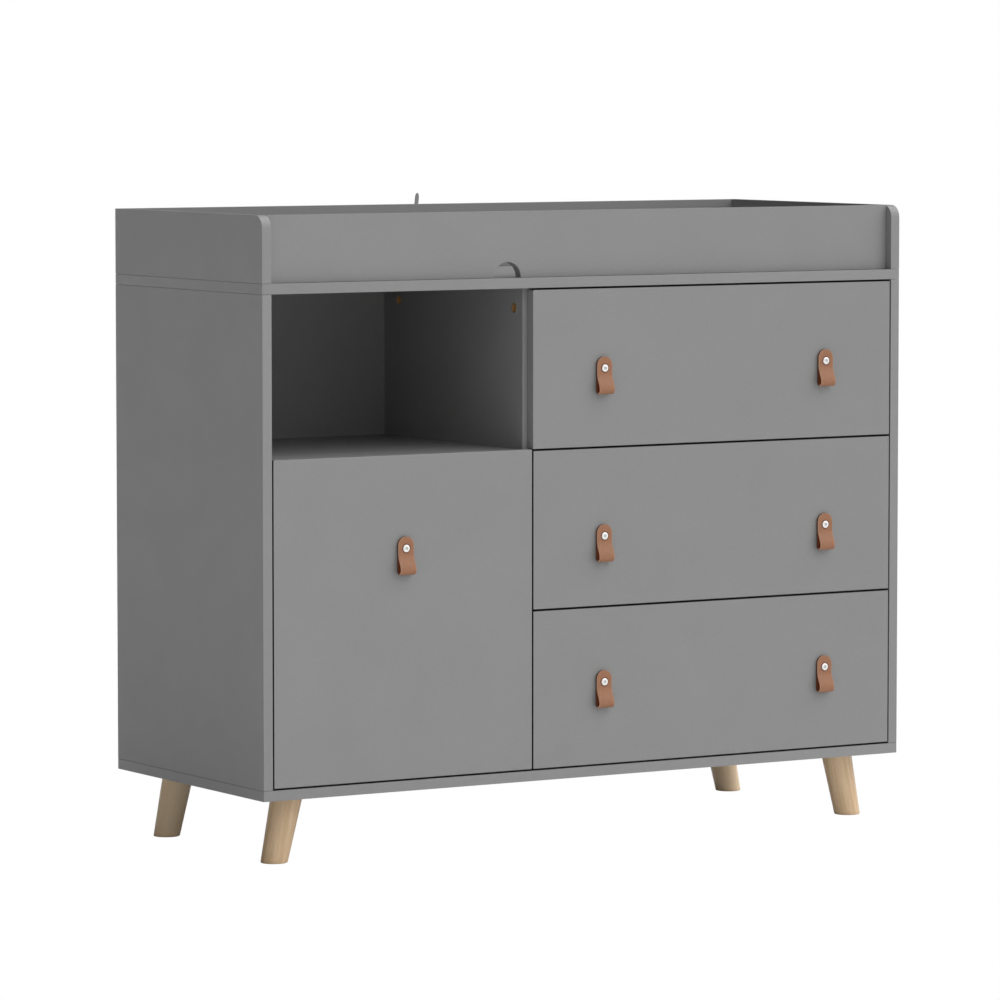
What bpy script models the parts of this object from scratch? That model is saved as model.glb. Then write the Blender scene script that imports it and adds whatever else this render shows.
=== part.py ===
"""A dresser-style changing table: a painted cabinet on turned legs, with a tray round its top.

The cabinet has an open cubby above a deep drawer on the left, and three wide drawers on the right.
Every board, leg, runner, pull, screw and fitting is an object of its own.
Units are metres. +X runs to the right seen from the front, the front faces -Y, and +Z is up.
The origin lies on the floor, in the middle of the table's outer box.
"""

import math
from collections import namedtuple

import bmesh
import bpy
from mathutils import Matrix, Vector

# Overall sizes
TABLE_WIDTH = 1.100
CABINET_DEPTH = 0.445
CABINET_HEIGHT = 0.735  # from the base panel's underside to the top panel's upper face
LEG_HEIGHT = 0.097
TRAY_HEIGHT = 0.0962

# Boards and clearances
BOARD = 0.015  # carcass, tray and drawer-front board
SEAT_GAP = 0.0003  # between two pieces that touch
REVEAL_SIDE = 0.0016  # beside an inset front
REVEAL_HEIGHT = 0.0022  # above and below an inset front
FRONT_CLEARANCE = 0.001  # between a front's inner face and the edges behind it
DEEP_FRONT_RISE = 0.0018  # of the deep front's upper edge above the wide fronts' row
SHELF_RISE = 0.0008  # of the shelf's upper face above the same row
BACK_RECESS = 0.0166  # from the carcass's rear edges to the back panel's rear face
DIVIDER_X = -0.1015  # middle of the divider between the two bays

# Tray
TRAY_FRONT_RECESS = 0.013  # from the side boards' front edges to the front board
TRAY_CORNER_RADIUS = 0.019  # of the side boards' upper front corners
NOTCH_RADIUS = 0.0227
NOTCH_X = -0.1364
ARC_STEPS = 6  # facets in a quarter turn of an outline

# Legs
LEG_TOP_RADIUS = 0.0228
LEG_FOOT_RADIUS = 0.0192
LEG_SPLAY = math.radians(12.5)  # outwards, to the left and right only
LEG_INSET_X = 0.0708  # from the carcass's side to the leg's middle at its top
LEG_INSET_Y = 0.0595  # from the carcass's front and rear to the leg's middle
LEG_CHAMFER = 0.0012
LEG_SIDES = 28

# Drawer boxes and runners
BOX_BOARD = 0.012
BOX_REAR_ROOM = 0.0481  # from a drawer box to the back panel
BOX_LIFT = 0.014  # from a front's lower edge to its drawer box
WIDE_BOX_DROP = 0.058  # from a wide front's upper edge to its drawer box
DEEP_BOX_DROP = 0.1538  # the same, for the deep drawer
BOX_FLOOR = 0.005
GROOVE_DEPTH = 0.006
GROOVE_RAISE = 0.010  # from the sides' lower edges to the groove
RUNNER_ROOM = 0.0127  # between a bay's wall and its drawer box
RUNNER_HEIGHT = 0.035
RUNNER_DEPTH = 0.0095
RUNNER_STEEL = 0.0012
RUNNER_LIP = 0.0035
RUNNER_SETBACK = 0.003  # behind the bay's front edges
WIDE_RUNNER_RAISE = 0.060  # from a drawer box's lower edge to its runners' middle
DEEP_RUNNER_RAISE = 0.110

# Pulls: a leather strap folded into a loop, with its ends riveted to the front
PULL_WIDTH = 0.0264
PULL_LEATHER = 0.0025
PULL_TOP = 0.0170  # from the screw's middle to the strap's upper ends
PULL_DROP = 0.0380  # from the screw's middle to the loop's lowest point
PULL_DEPTH = 0.0124  # from the strap's back to the loop's outermost point
PULL_FLAT = 0.0080  # how far below the screw the two layers stay pressed together
PULL_INSET = 0.1205  # from a wide front's ends to the screws
TOP_PULL_DROP = 0.1173  # from the top drawer front's upper edge to its screws
MIDDLE_PULL_DROP = 0.1292
BOTTOM_PULL_DROP = 0.1100
DEEP_PULL_DROP = 0.1341
PULL_END_STEPS = 6
PULL_LOOP_STEPS = 8
PULL_FRONT_STEPS = 6

# Pull screws
SCREW_CAP_RADIUS = 0.0058
SCREW_CAP_HEIGHT = 0.0024
SCREW_RIM = 0.0008
SCREW_DIMPLE_RADIUS = 0.0019
SCREW_DIMPLE_DEPTH = 0.0007
SCREW_SHANK_RADIUS = 0.0025
SCREW_NUT_RADIUS = 0.0050
SCREW_NUT_HEIGHT = 0.0018
SCREW_SIDES = 16

# Cam locks in the divider's left face
CAM_RADIUS = 0.0070
CAM_DEPTH = 0.0110
CAM_DROP = 0.030  # from the top panel's lower face to the cams' middles
CAM_FRONT_INSET = 0.040  # from the carcass's front
CAM_REAR_INSET = 0.074  # from the carcass's rear
CAM_SIDES = 24

# Anti-tip strap on the tray's back board
STRAP_X = -0.0345  # of the strap's screw eye
STRAP_WIDTH = 0.0080
STRAP_THICKNESS = 0.0025
STRAP_RISE = 0.0168  # of the strap's end above the board
STRAP_EYE_DROP = 0.014  # of the screw eye below the board's upper edge
STRAP_EYE_RADIUS = 0.0090
STRAP_HOLE_RADIUS = 0.0045
STRAP_LEAN = math.radians(6.0)
STRAP_SIDES = 20

# Places that follow from the sizes above
FRONT_OVERHANG = SEAT_GAP + PULL_DEPTH
REAR_OVERHANG = SEAT_GAP + STRAP_THICKNESS
FRONT_Y = FRONT_OVERHANG - (CABINET_DEPTH + FRONT_OVERHANG + REAR_OVERHANG) / 2
REAR_Y = FRONT_Y + CABINET_DEPTH
HALF_WIDTH = TABLE_WIDTH / 2
BASE_TOP = LEG_HEIGHT + BOARD
CABINET_TOP = LEG_HEIGHT + CABINET_HEIGHT
TOP_UNDERSIDE = CABINET_TOP - BOARD
TRAY_FOOT = CABINET_TOP + SEAT_GAP
TRAY_TOP = TRAY_FOOT + TRAY_HEIGHT
SIDE_INNER = HALF_WIDTH - BOARD
DIVIDER_LEFT = DIVIDER_X - BOARD / 2
DIVIDER_RIGHT = DIVIDER_X + BOARD / 2
INNER_FRONT_Y = FRONT_Y + BOARD + FRONT_CLEARANCE
BACK_PANEL_FRONT = REAR_Y - BACK_RECESS - BOARD
BOX_NEAR_Y = FRONT_Y + BOARD + SEAT_GAP
BOX_FAR_Y = BACK_PANEL_FRONT - BOX_REAR_ROOM
FRONT_ROWS = 3
ROW_FRONT_HEIGHT = (TOP_UNDERSIDE - BASE_TOP - (FRONT_ROWS + 1) * REVEAL_HEIGHT) / FRONT_ROWS
ROW_PITCH = ROW_FRONT_HEIGHT + REVEAL_HEIGHT
LOWEST_FRONT = BASE_TOP + REVEAL_HEIGHT
DEEP_FRONT_HEIGHT = 2 * ROW_FRONT_HEIGHT + REVEAL_HEIGHT + DEEP_FRONT_RISE
SHELF_TOP = LOWEST_FRONT + 2 * ROW_FRONT_HEIGHT + REVEAL_HEIGHT + SHELF_RISE
TRAY_FRONT_Y = FRONT_Y + TRAY_FRONT_RECESS
CAM_Z = TOP_UNDERSIDE - CAM_DROP

Drawer = namedtuple(
    "Drawer",
    "name bay_left bay_right front_left front_right front_low front_height "
    "box_drop runner_raise pull_xs pull_drop",
)


# Materials ---------------------------------------------------------------------------------------


def make_material(name, colour, roughness, metallic=0.0):
    """A Principled material with one colour, roughness and metallic value."""
    material = bpy.data.materials.new(name)
    material.use_nodes = True
    shader = material.node_tree.nodes["Principled BSDF"]
    shader.inputs["Base Color"].default_value = (*colour, 1.0)
    shader.inputs["Roughness"].default_value = roughness
    shader.inputs["Metallic"].default_value = metallic
    material.diffuse_color = (*colour, 1.0)
    return material


def make_materials():
    """Every finish on the table, by name."""
    return {
        "paint": make_material("grey_paint", (0.275, 0.275, 0.275), 0.50),
        "foil": make_material("grey_foil", (0.50, 0.50, 0.50), 0.55),
        "beech": make_material("beech", (0.52, 0.37, 0.22), 0.45),
        "leather": make_material("tan_leather", (0.36, 0.17, 0.09), 0.50),
        "nickel": make_material("nickel", (0.80, 0.80, 0.79), 0.20, 1.0),
        "steel": make_material("zinc_steel", (0.60, 0.61, 0.62), 0.35, 1.0),
        "nylon": make_material("grey_nylon", (0.38, 0.38, 0.39), 0.40),
        "bronze": make_material("bronzed_zinc", (0.12, 0.08, 0.04), 0.40, 1.0),
    }


# Solids ------------------------------------------------------------------------------------------


def add_object(name, mesh, material, parent=None, place=Vector()):
    """Links a mesh as a named object at a world place, under a parent if there is one."""
    thing = bpy.data.objects.new(name, mesh)
    bpy.context.scene.collection.objects.link(thing)
    if material is not None and not mesh.materials:
        mesh.materials.append(material)
    thing.location = place
    if parent is not None:
        thing.parent = parent
        thing.location = Vector(place) - parent.location
    return thing


def mesh_from(builder, name, smooth=False):
    """Turns a bmesh into a mesh with its faces pointing out."""
    bmesh.ops.recalc_face_normals(builder, faces=builder.faces)
    mesh = bpy.data.meshes.new(name)
    builder.to_mesh(mesh)
    builder.free()
    if smooth:
        mesh.shade_smooth()
        mesh.set_sharp_from_angle(angle=math.radians(35))
    return mesh


def add_board(name, low, high, material, parent=None):
    """A plain rectangular board between two world corners."""
    low, high = Vector(low), Vector(high)
    builder = bmesh.new()
    bmesh.ops.create_cube(builder, size=1.0)
    size = high - low
    bmesh.ops.scale(builder, vec=size, verts=builder.verts)
    middle = (low + high) / 2
    return add_object(name, mesh_from(builder, name), material, parent, middle)


def extrude_outline(name, outline, sweep, smooth=False):
    """A closed outline of 3-D points, extruded along the sweep vector."""
    builder = bmesh.new()
    ring = [builder.verts.new(point) for point in outline]
    face = builder.faces.new(ring)
    swept = bmesh.ops.extrude_face_region(builder, geom=[face])
    moved = [item for item in swept["geom"] if isinstance(item, bmesh.types.BMVert)]
    bmesh.ops.translate(builder, vec=sweep, verts=moved)
    return mesh_from(builder, name, smooth)


def turned_mesh(name, profile, sides):
    """A profile of (radius, height) pairs, from pole to pole, turned about Z."""
    builder = bmesh.new()
    points = [builder.verts.new((radius, 0.0, height)) for radius, height in profile]
    edges = [builder.edges.new(pair) for pair in zip(points, points[1:])]
    bmesh.ops.spin(
        builder,
        geom=points + edges,
        cent=(0, 0, 0),
        axis=(0, 0, 1),
        angle=math.tau,
        steps=sides,
        use_merge=True,
    )
    bmesh.ops.remove_doubles(builder, verts=builder.verts, dist=1e-6)
    return mesh_from(builder, name, smooth=True)


def add_drill(name, start, end, radius, sides):
    """A hidden cutter: a round bar from start to end."""
    start, end = Vector(start), Vector(end)
    builder = bmesh.new()
    bmesh.ops.create_cone(
        builder,
        cap_ends=True,
        segments=sides,
        radius1=radius,
        radius2=radius,
        depth=(end - start).length,
    )
    turn = (end - start).to_track_quat("Z", "Y").to_matrix()
    bmesh.ops.rotate(builder, matrix=turn, verts=builder.verts)
    drill = add_object(name, mesh_from(builder, name), None, None, (start + end) / 2)
    drill.hide_render = True
    drill.display_type = "WIRE"
    return drill


def cut(thing, drill):
    """Takes a cutter out of an object with a live Boolean."""
    boolean = thing.modifiers.new("cut_" + drill.name, "BOOLEAN")
    boolean.operation = "DIFFERENCE"
    boolean.solver = "EXACT"
    boolean.object = drill


def arc(centre, radius, start, end, steps):
    """Points of an arc in a plane, from one angle to another, both ends included."""
    angles = [start + (end - start) * step / steps for step in range(steps + 1)]
    return [(centre[0] + radius * math.cos(a), centre[1] + radius * math.sin(a)) for a in angles]


# Carcass -----------------------------------------------------------------------------------------


def build_carcass(finish):
    """Base, top, sides, back, divider and cubby shelf."""
    paint = finish["paint"]
    for name, low in (("base_panel", LEG_HEIGHT), ("top_panel", TOP_UNDERSIDE)):
        corner = (-HALF_WIDTH, FRONT_Y, low)
        add_board(name, corner, (HALF_WIDTH, REAR_Y, low + BOARD), paint)
    foot, head = BASE_TOP + SEAT_GAP, TOP_UNDERSIDE - SEAT_GAP
    add_board(
        "side_panel_left", (-HALF_WIDTH, FRONT_Y, foot), (-SIDE_INNER, REAR_Y, head), paint
    )
    add_board(
        "side_panel_right", (SIDE_INNER, FRONT_Y, foot), (HALF_WIDTH, REAR_Y, head), paint
    )
    add_board(
        "back_panel",
        (-SIDE_INNER + SEAT_GAP, BACK_PANEL_FRONT, foot),
        (SIDE_INNER - SEAT_GAP, BACK_PANEL_FRONT + BOARD, head),
        paint,
    )
    inner_back = BACK_PANEL_FRONT - SEAT_GAP
    divider = add_board(
        "centre_divider",
        (DIVIDER_LEFT, INNER_FRONT_Y, foot),
        (DIVIDER_RIGHT, inner_back, head),
        paint,
    )
    add_board(
        "cubby_shelf",
        (-SIDE_INNER + SEAT_GAP, INNER_FRONT_Y, SHELF_TOP - BOARD),
        (DIVIDER_LEFT - SEAT_GAP, inner_back, SHELF_TOP),
        paint,
    )
    build_cam_locks(finish, divider)


def build_cam_locks(finish, divider):
    """Two cam locks, each in a blind bore in the divider's left face."""
    floor = DIVIDER_LEFT + CAM_DEPTH + SEAT_GAP
    for name, y in (
        ("cam_lock_front", FRONT_Y + CAM_FRONT_INSET),
        ("cam_lock_rear", REAR_Y - CAM_REAR_INSET),
    ):
        drill = add_drill(
            name + "_bore",
            (DIVIDER_LEFT - BOARD, y, CAM_Z),
            (floor, y, CAM_Z),
            CAM_RADIUS + SEAT_GAP,
            CAM_SIDES,
        )
        cut(divider, drill)
        profile = [(0, 0), (CAM_RADIUS, 0), (CAM_RADIUS, CAM_DEPTH), (0, CAM_DEPTH)]
        mesh = turned_mesh(name, profile, CAM_SIDES)
        mesh.transform(Matrix.Rotation(math.pi / 2, 4, "Y"))
        add_object(name, mesh, finish["bronze"], None, (DIVIDER_LEFT, y, CAM_Z))


def build_tray(finish):
    """The four boards that stand on the top panel round the changing area."""
    paint = finish["paint"]
    quarter = math.pi / 2
    rounded = arc(
        (FRONT_Y + TRAY_CORNER_RADIUS, TRAY_TOP - TRAY_CORNER_RADIUS),
        TRAY_CORNER_RADIUS,
        math.pi,
        quarter,
        ARC_STEPS,
    )
    outline = [(REAR_Y, TRAY_FOOT), (FRONT_Y, TRAY_FOOT), *rounded, (REAR_Y, TRAY_TOP)]
    for name, x in (("tray_side_left", -HALF_WIDTH), ("tray_side_right", SIDE_INNER)):
        points = [(x, y, z) for y, z in outline]
        mesh = extrude_outline(name, points, (BOARD, 0, 0))
        add_object(name, mesh, paint)
    end = SIDE_INNER - SEAT_GAP
    notch = arc((NOTCH_X, TRAY_FOOT), NOTCH_RADIUS, math.pi, 0, 3 * ARC_STEPS)
    outline = [(-end, TRAY_FOOT), *notch, (end, TRAY_FOOT), (end, TRAY_TOP), (-end, TRAY_TOP)]
    points = [(x, TRAY_FRONT_Y, z) for x, z in outline]
    mesh = extrude_outline("tray_front_board", points, (0, BOARD, 0))
    add_object("tray_front_board", mesh, paint)
    add_board("tray_back_board", (-end, REAR_Y - BOARD, TRAY_FOOT), (end, REAR_Y, TRAY_TOP), paint)


def build_anti_tip_strap(finish):
    """A nylon strap with a round screw eye, behind the tray's back board."""
    reach = (STRAP_RISE + STRAP_EYE_DROP) / math.cos(STRAP_LEAN)
    half = STRAP_WIDTH / 2
    neck = math.asin(half / STRAP_EYE_RADIUS)
    quarter = math.pi / 2
    eye = arc((0, 0), STRAP_EYE_RADIUS, quarter + neck, 5 * quarter - neck, 3 * ARC_STEPS)
    end = arc((0, reach - half), half, 0, math.pi, 2 * ARC_STEPS)
    points = [(x, 0.0, z) for x, z in eye + end]
    mesh = extrude_outline("anti_tip_strap", points, (0, STRAP_THICKNESS, 0))
    mesh.transform(Matrix.Rotation(STRAP_LEAN, 4, "Y"))
    place = Vector((STRAP_X, REAR_Y + SEAT_GAP, TRAY_TOP - STRAP_EYE_DROP))
    strap = add_object("anti_tip_strap", mesh, finish["nylon"], None, place)
    through = Vector((0, BOARD, 0))
    drill = add_drill(
        "strap_eye_bore", place - through, place + through, STRAP_HOLE_RADIUS, STRAP_SIDES
    )
    cut(strap, drill)


# Legs --------------------------------------------------------------------------------------------


def leg_mesh():
    """A tapered leg, turned straight, then leaned outwards to +X and cut level at both ends."""
    height = LEG_HEIGHT - SEAT_GAP
    profile = [
        (0, 0),
        (LEG_FOOT_RADIUS - LEG_CHAMFER, 0),
        (LEG_FOOT_RADIUS, LEG_CHAMFER),
        (LEG_TOP_RADIUS, height),
        (0, height),
    ]
    mesh = turned_mesh("leg", profile, LEG_SIDES)
    lean = Matrix.Identity(4)
    lean[0][0] = 1 / math.cos(LEG_SPLAY)
    lean[0][2] = -math.tan(LEG_SPLAY)
    mesh.transform(Matrix.Translation((0, 0, -height)))
    mesh.transform(lean)
    mesh.transform(Matrix.Translation((0, 0, height)))
    return mesh


def build_legs(finish):
    """Four legs under the base panel, splayed to the left and right."""
    half_turn = Matrix.Rotation(math.pi, 4, "Z")
    right = leg_mesh()
    left = right.copy()
    left.transform(half_turn)
    x = HALF_WIDTH - LEG_INSET_X
    for row, y in (("front", FRONT_Y + LEG_INSET_Y), ("rear", REAR_Y - LEG_INSET_Y)):
        add_object(f"leg_{row}_left", left, finish["beech"], None, (-x, y, 0))
        add_object(f"leg_{row}_right", right, finish["beech"], None, (x, y, 0))


# Drawers -----------------------------------------------------------------------------------------


def list_drawers():
    """The three wide drawers, from the top down, and the deep drawer under the cubby."""
    left, right = DIVIDER_X + REVEAL_SIDE / 2, SIDE_INNER - REVEAL_SIDE
    pulls = (("_left", left + PULL_INSET), ("_right", right - PULL_INSET))
    drawers = []
    rows = (("top", 2, TOP_PULL_DROP), ("middle", 1, MIDDLE_PULL_DROP), ("bottom", 0, BOTTOM_PULL_DROP))
    for name, row, pull_drop in rows:
        drawers.append(
            Drawer(
                name=name + "_drawer",
                bay_left=DIVIDER_RIGHT,
                bay_right=SIDE_INNER,
                front_left=left,
                front_right=right,
                front_low=LOWEST_FRONT + row * ROW_PITCH,
                front_height=ROW_FRONT_HEIGHT,
                box_drop=WIDE_BOX_DROP,
                runner_raise=WIDE_RUNNER_RAISE,
                pull_xs=pulls,
                pull_drop=pull_drop,
            )
        )
    left, right = -SIDE_INNER + REVEAL_SIDE, DIVIDER_X - REVEAL_SIDE / 2
    drawers.append(
        Drawer(
            name="deep_drawer",
            bay_left=-SIDE_INNER,
            bay_right=DIVIDER_LEFT,
            front_left=left,
            front_right=right,
            front_low=LOWEST_FRONT,
            front_height=DEEP_FRONT_HEIGHT,
            box_drop=DEEP_BOX_DROP,
            runner_raise=DEEP_RUNNER_RAISE,
            pull_xs=(("", (left + right) / 2),),
            pull_drop=DEEP_PULL_DROP,
        )
    )
    return drawers


def box_side_outline(outer, inwards, low, high):
    """The cross-section of a drawer side, grooved for the drawer's floor on its inner face."""
    inner = outer + inwards * BOX_BOARD
    groove = inner - inwards * GROOVE_DEPTH
    groove_low = low + GROOVE_RAISE
    groove_high = groove_low + BOX_FLOOR + 2 * SEAT_GAP
    return [
        (outer, low),
        (inner, low),
        (inner, groove_low),
        (groove, groove_low),
        (groove, groove_high),
        (inner, groove_high),
        (inner, high),
        (outer, high),
    ]


def build_drawer_box(drawer, slider, finish):
    """Two grooved sides, a floor that slides in the grooves, and a back that stands on the floor."""
    foil = finish["foil"]
    low = drawer.front_low + BOX_LIFT
    high = drawer.front_low + drawer.front_height - drawer.box_drop
    left, right = drawer.bay_left + RUNNER_ROOM, drawer.bay_right - RUNNER_ROOM
    for side, outer, inwards in (("left", left, 1), ("right", right, -1)):
        name = f"{drawer.name}_side_{side}"
        outline = box_side_outline(outer, inwards, low, high)
        points = [(x, BOX_NEAR_Y, z) for x, z in outline]
        mesh = extrude_outline(name, points, (0, BOX_FAR_Y - BOX_NEAR_Y, 0))
        mesh.transform(Matrix.Translation(-slider.location))
        add_object(name, mesh, foil, slider, slider.location)
    tongue = BOX_BOARD - GROOVE_DEPTH + SEAT_GAP
    floor_low = low + GROOVE_RAISE + SEAT_GAP
    floor_top = floor_low + BOX_FLOOR
    add_board(
        drawer.name + "_floor",
        (left + tongue, BOX_NEAR_Y, floor_low),
        (right - tongue, BOX_FAR_Y, floor_top),
        foil,
        slider,
    )
    inset = BOX_BOARD + SEAT_GAP
    add_board(
        drawer.name + "_back",
        (left + inset, BOX_FAR_Y - BOX_BOARD, floor_top + SEAT_GAP),
        (right - inset, BOX_FAR_Y, high),
        foil,
        slider,
    )


def pull_path():
    """The strap's middle line as (outwards, up, half width) stations, from its inner end to its outer one.

    The inner layer lies on the front. The loop turns round at the bottom, and the outer layer
    comes back in and is pressed on the inner one above PULL_FLAT.
    """
    half_leather = PULL_LEATHER / 2
    half_width = PULL_WIDTH / 2
    loop_radius = (PULL_DEPTH - PULL_LEATHER) / 2
    loop_z = -PULL_DROP + half_leather + loop_radius
    outer = half_leather + 2 * loop_radius
    pressed = half_leather + PULL_LEATHER + SEAT_GAP
    end_z = PULL_TOP - half_width
    rounded = []
    for step in range(PULL_END_STEPS):
        angle = math.pi / 2 * (step + 0.4) / PULL_END_STEPS
        rounded.append((end_z + half_width * math.cos(angle), half_width * math.sin(angle)))
    stations = [(half_leather, z, width) for z, width in rounded]
    stations.append((half_leather, end_z, half_width))
    stations.append((half_leather, loop_z, half_width))
    for step in range(1, PULL_LOOP_STEPS):
        angle = math.pi * step / PULL_LOOP_STEPS
        out = half_leather + loop_radius * (1 - math.cos(angle))
        stations.append((out, loop_z - loop_radius * math.sin(angle), half_width))
    rise = -PULL_FLAT - loop_z
    for step in range(PULL_FRONT_STEPS + 1):
        share = step / PULL_FRONT_STEPS
        eased = share * share * (3 - 2 * share)
        out = outer + (pressed - outer) * eased
        stations.append((out, loop_z + rise * share, half_width))
    stations.append((pressed, end_z, half_width))
    stations += [(pressed, z, width) for z, width in reversed(rounded)]
    return stations


def pull_mesh():
    """The strap's rectangular section carried along its path. Local -Y points out of the front."""
    stations = pull_path()
    builder = bmesh.new()
    rings = []
    for index, (out, up, half_width) in enumerate(stations):
        before = stations[max(index - 1, 0)]
        after = stations[min(index + 1, len(stations) - 1)]
        along = Vector((after[0] - before[0], after[1] - before[1])).normalized()
        across = Vector((along.y, -along.x)) * PULL_LEATHER / 2
        corners = [(-half_width, -1), (half_width, -1), (half_width, 1), (-half_width, 1)]
        rings.append(
            [
                builder.verts.new((x, -(out + side * across.x), up + side * across.y))
                for x, side in corners
            ]
        )
    for ring, following in zip(rings, rings[1:]):
        for corner in range(4):
            other = (corner + 1) % 4
            builder.faces.new((ring[corner], ring[other], following[other], following[corner]))
    builder.faces.new(rings[0])
    builder.faces.new(rings[-1])
    return mesh_from(builder, "pull", smooth=True)


def pull_screw_mesh():
    """A domed cap with a dimple, a shank through leather and board, and a flat nut behind.

    It is turned about its own axis and then laid along Y, with its cap towards -Y. The local
    origin is where the axis meets the outer face of the drawer front.
    """
    seat = 2 * (PULL_LEATHER + SEAT_GAP) + SEAT_GAP
    top = seat + SCREW_CAP_HEIGHT
    inside = -BOARD - SEAT_GAP
    profile = [
        (0, top - SCREW_DIMPLE_DEPTH),
        (0.8 * SCREW_DIMPLE_RADIUS, top - SCREW_DIMPLE_DEPTH),
        (SCREW_DIMPLE_RADIUS, top),
        (0.70 * SCREW_CAP_RADIUS, top - 0.2 * SCREW_CAP_HEIGHT),
        (SCREW_CAP_RADIUS, seat + SCREW_RIM),
        (SCREW_CAP_RADIUS, seat),
        (SCREW_SHANK_RADIUS, seat),
        (SCREW_SHANK_RADIUS, inside),
        (SCREW_NUT_RADIUS, inside),
        (SCREW_NUT_RADIUS, inside - SCREW_NUT_HEIGHT),
        (0, inside - SCREW_NUT_HEIGHT),
    ]
    mesh = turned_mesh("pull_screw", profile, SCREW_SIDES)
    mesh.transform(Matrix.Rotation(math.pi / 2, 4, "X"))
    return mesh


def build_pull(drawer, suffix, x, front, slider, meshes, finish):
    """One strap pull and its screw, with the hole that the screw needs in strap and front."""
    screw_z = drawer.front_low + drawer.front_height - drawer.pull_drop
    place = Vector((x, FRONT_Y, screw_z))
    hold_off = Vector((0, -SEAT_GAP, 0))
    pull = add_object(
        f"{drawer.name}_pull{suffix}", meshes["pull"], finish["leather"], slider, place + hold_off
    )
    add_object(
        f"{drawer.name}_pull_screw{suffix}", meshes["screw"], finish["nickel"], slider, place
    )
    reach = Vector((0, 2 * BOARD, 0))
    drill = add_drill(
        f"{drawer.name}_pull_bore{suffix}",
        place - reach,
        place + reach,
        SCREW_SHANK_RADIUS + SEAT_GAP,
        SCREW_SIDES,
    )
    cut(pull, drill)
    cut(front, drill)


def runner_outline(wall, inwards, middle):
    """The cabinet rail's C-shaped section, open towards the drawer."""
    foot = wall + inwards * SEAT_GAP
    mouth = foot + inwards * RUNNER_DEPTH
    web = foot + inwards * RUNNER_STEEL
    lip = mouth - inwards * RUNNER_STEEL
    half = RUNNER_HEIGHT / 2
    inner = half - RUNNER_STEEL
    tip = half - RUNNER_LIP
    upper = [(foot, half), (mouth, half), (mouth, tip), (lip, tip), (lip, inner), (web, inner)]
    lower = [(x, -z) for x, z in reversed(upper)]
    return [(x, middle + z) for x, z in upper + lower]


def build_runners(drawer, finish):
    """The two steel rails that a drawer runs on, screwed to the walls of its bay."""
    middle = drawer.front_low + BOX_LIFT + drawer.runner_raise
    near = INNER_FRONT_Y + RUNNER_SETBACK
    for side, wall, inwards in (("left", drawer.bay_left, 1), ("right", drawer.bay_right, -1)):
        name = f"{drawer.name}_runner_{side}"
        points = [(x, near, z) for x, z in runner_outline(wall, inwards, middle)]
        mesh = extrude_outline(name, points, (0, BOX_FAR_Y - near, 0))
        add_object(name, mesh, finish["steel"])


def build_drawer(drawer, meshes, finish):
    """A drawer's front, box, pulls and screws under one empty, and its runners in the cabinet."""
    slider = bpy.data.objects.new(drawer.name, None)
    bpy.context.scene.collection.objects.link(slider)
    middle_x = (drawer.front_left + drawer.front_right) / 2
    slider.location = (middle_x, FRONT_Y, drawer.front_low)
    front = add_board(
        drawer.name + "_front",
        (drawer.front_left, FRONT_Y, drawer.front_low),
        (drawer.front_right, FRONT_Y + BOARD, drawer.front_low + drawer.front_height),
        finish["paint"],
        slider,
    )
    build_drawer_box(drawer, slider, finish)
    for suffix, x in drawer.pull_xs:
        build_pull(drawer, suffix, x, front, slider, meshes, finish)
    build_runners(drawer, finish)


def main():
    """Clears the scene and builds the table."""
    for thing in list(bpy.data.objects):
        bpy.data.objects.remove(thing)
    finish = make_materials()
    build_carcass(finish)
    build_tray(finish)
    build_anti_tip_strap(finish)
    build_legs(finish)
    meshes = {"pull": pull_mesh(), "screw": pull_screw_mesh()}
    for drawer in list_drawers():
        build_drawer(drawer, meshes, finish)


main()
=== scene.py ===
"""The looks of a dresser-style changing table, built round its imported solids.

Every board, leg, strap and screw is a surface worked out with numpy from the box of the solid that
it stands for, and carries a procedural finish. The divider keeps its solid. The drawers' rails, the
runners' screws and two more cam locks have no solid and are placed from their neighbours. Units are
metres, +X is right seen from the front, the front faces -Y and +Z is up.
"""

import logging
import math
from dataclasses import dataclass, field
from enum import Enum
from itertools import product

import bpy
import numpy as np
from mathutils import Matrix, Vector


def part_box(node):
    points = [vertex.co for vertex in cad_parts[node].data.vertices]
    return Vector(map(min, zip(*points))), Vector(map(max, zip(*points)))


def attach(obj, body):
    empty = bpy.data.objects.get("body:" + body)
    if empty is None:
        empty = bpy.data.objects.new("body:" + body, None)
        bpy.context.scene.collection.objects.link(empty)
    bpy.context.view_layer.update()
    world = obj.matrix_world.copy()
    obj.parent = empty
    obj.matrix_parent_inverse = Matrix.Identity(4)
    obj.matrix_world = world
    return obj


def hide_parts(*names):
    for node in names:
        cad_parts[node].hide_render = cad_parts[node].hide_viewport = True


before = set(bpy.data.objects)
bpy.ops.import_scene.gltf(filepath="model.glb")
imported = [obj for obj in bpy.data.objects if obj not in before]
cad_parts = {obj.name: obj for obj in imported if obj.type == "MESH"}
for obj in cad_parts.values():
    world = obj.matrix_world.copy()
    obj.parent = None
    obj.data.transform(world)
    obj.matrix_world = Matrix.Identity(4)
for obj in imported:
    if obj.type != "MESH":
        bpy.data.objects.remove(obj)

Array = np.ndarray
Colour = tuple[float, float, float]
LOG = logging.getLogger("changing_table")
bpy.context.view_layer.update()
SEAT_GAP = 0.0003  # between two pieces that touch
CORNER_SHARE = 1.6  # an outline's corner radius over its rims' radius, above 1 so rings stay open
RIM_STEPS = 4  # chords in an eased rim or corner
SHARP_ANGLE = math.radians(38)  # where a surface without exact normals shows an edge


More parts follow.
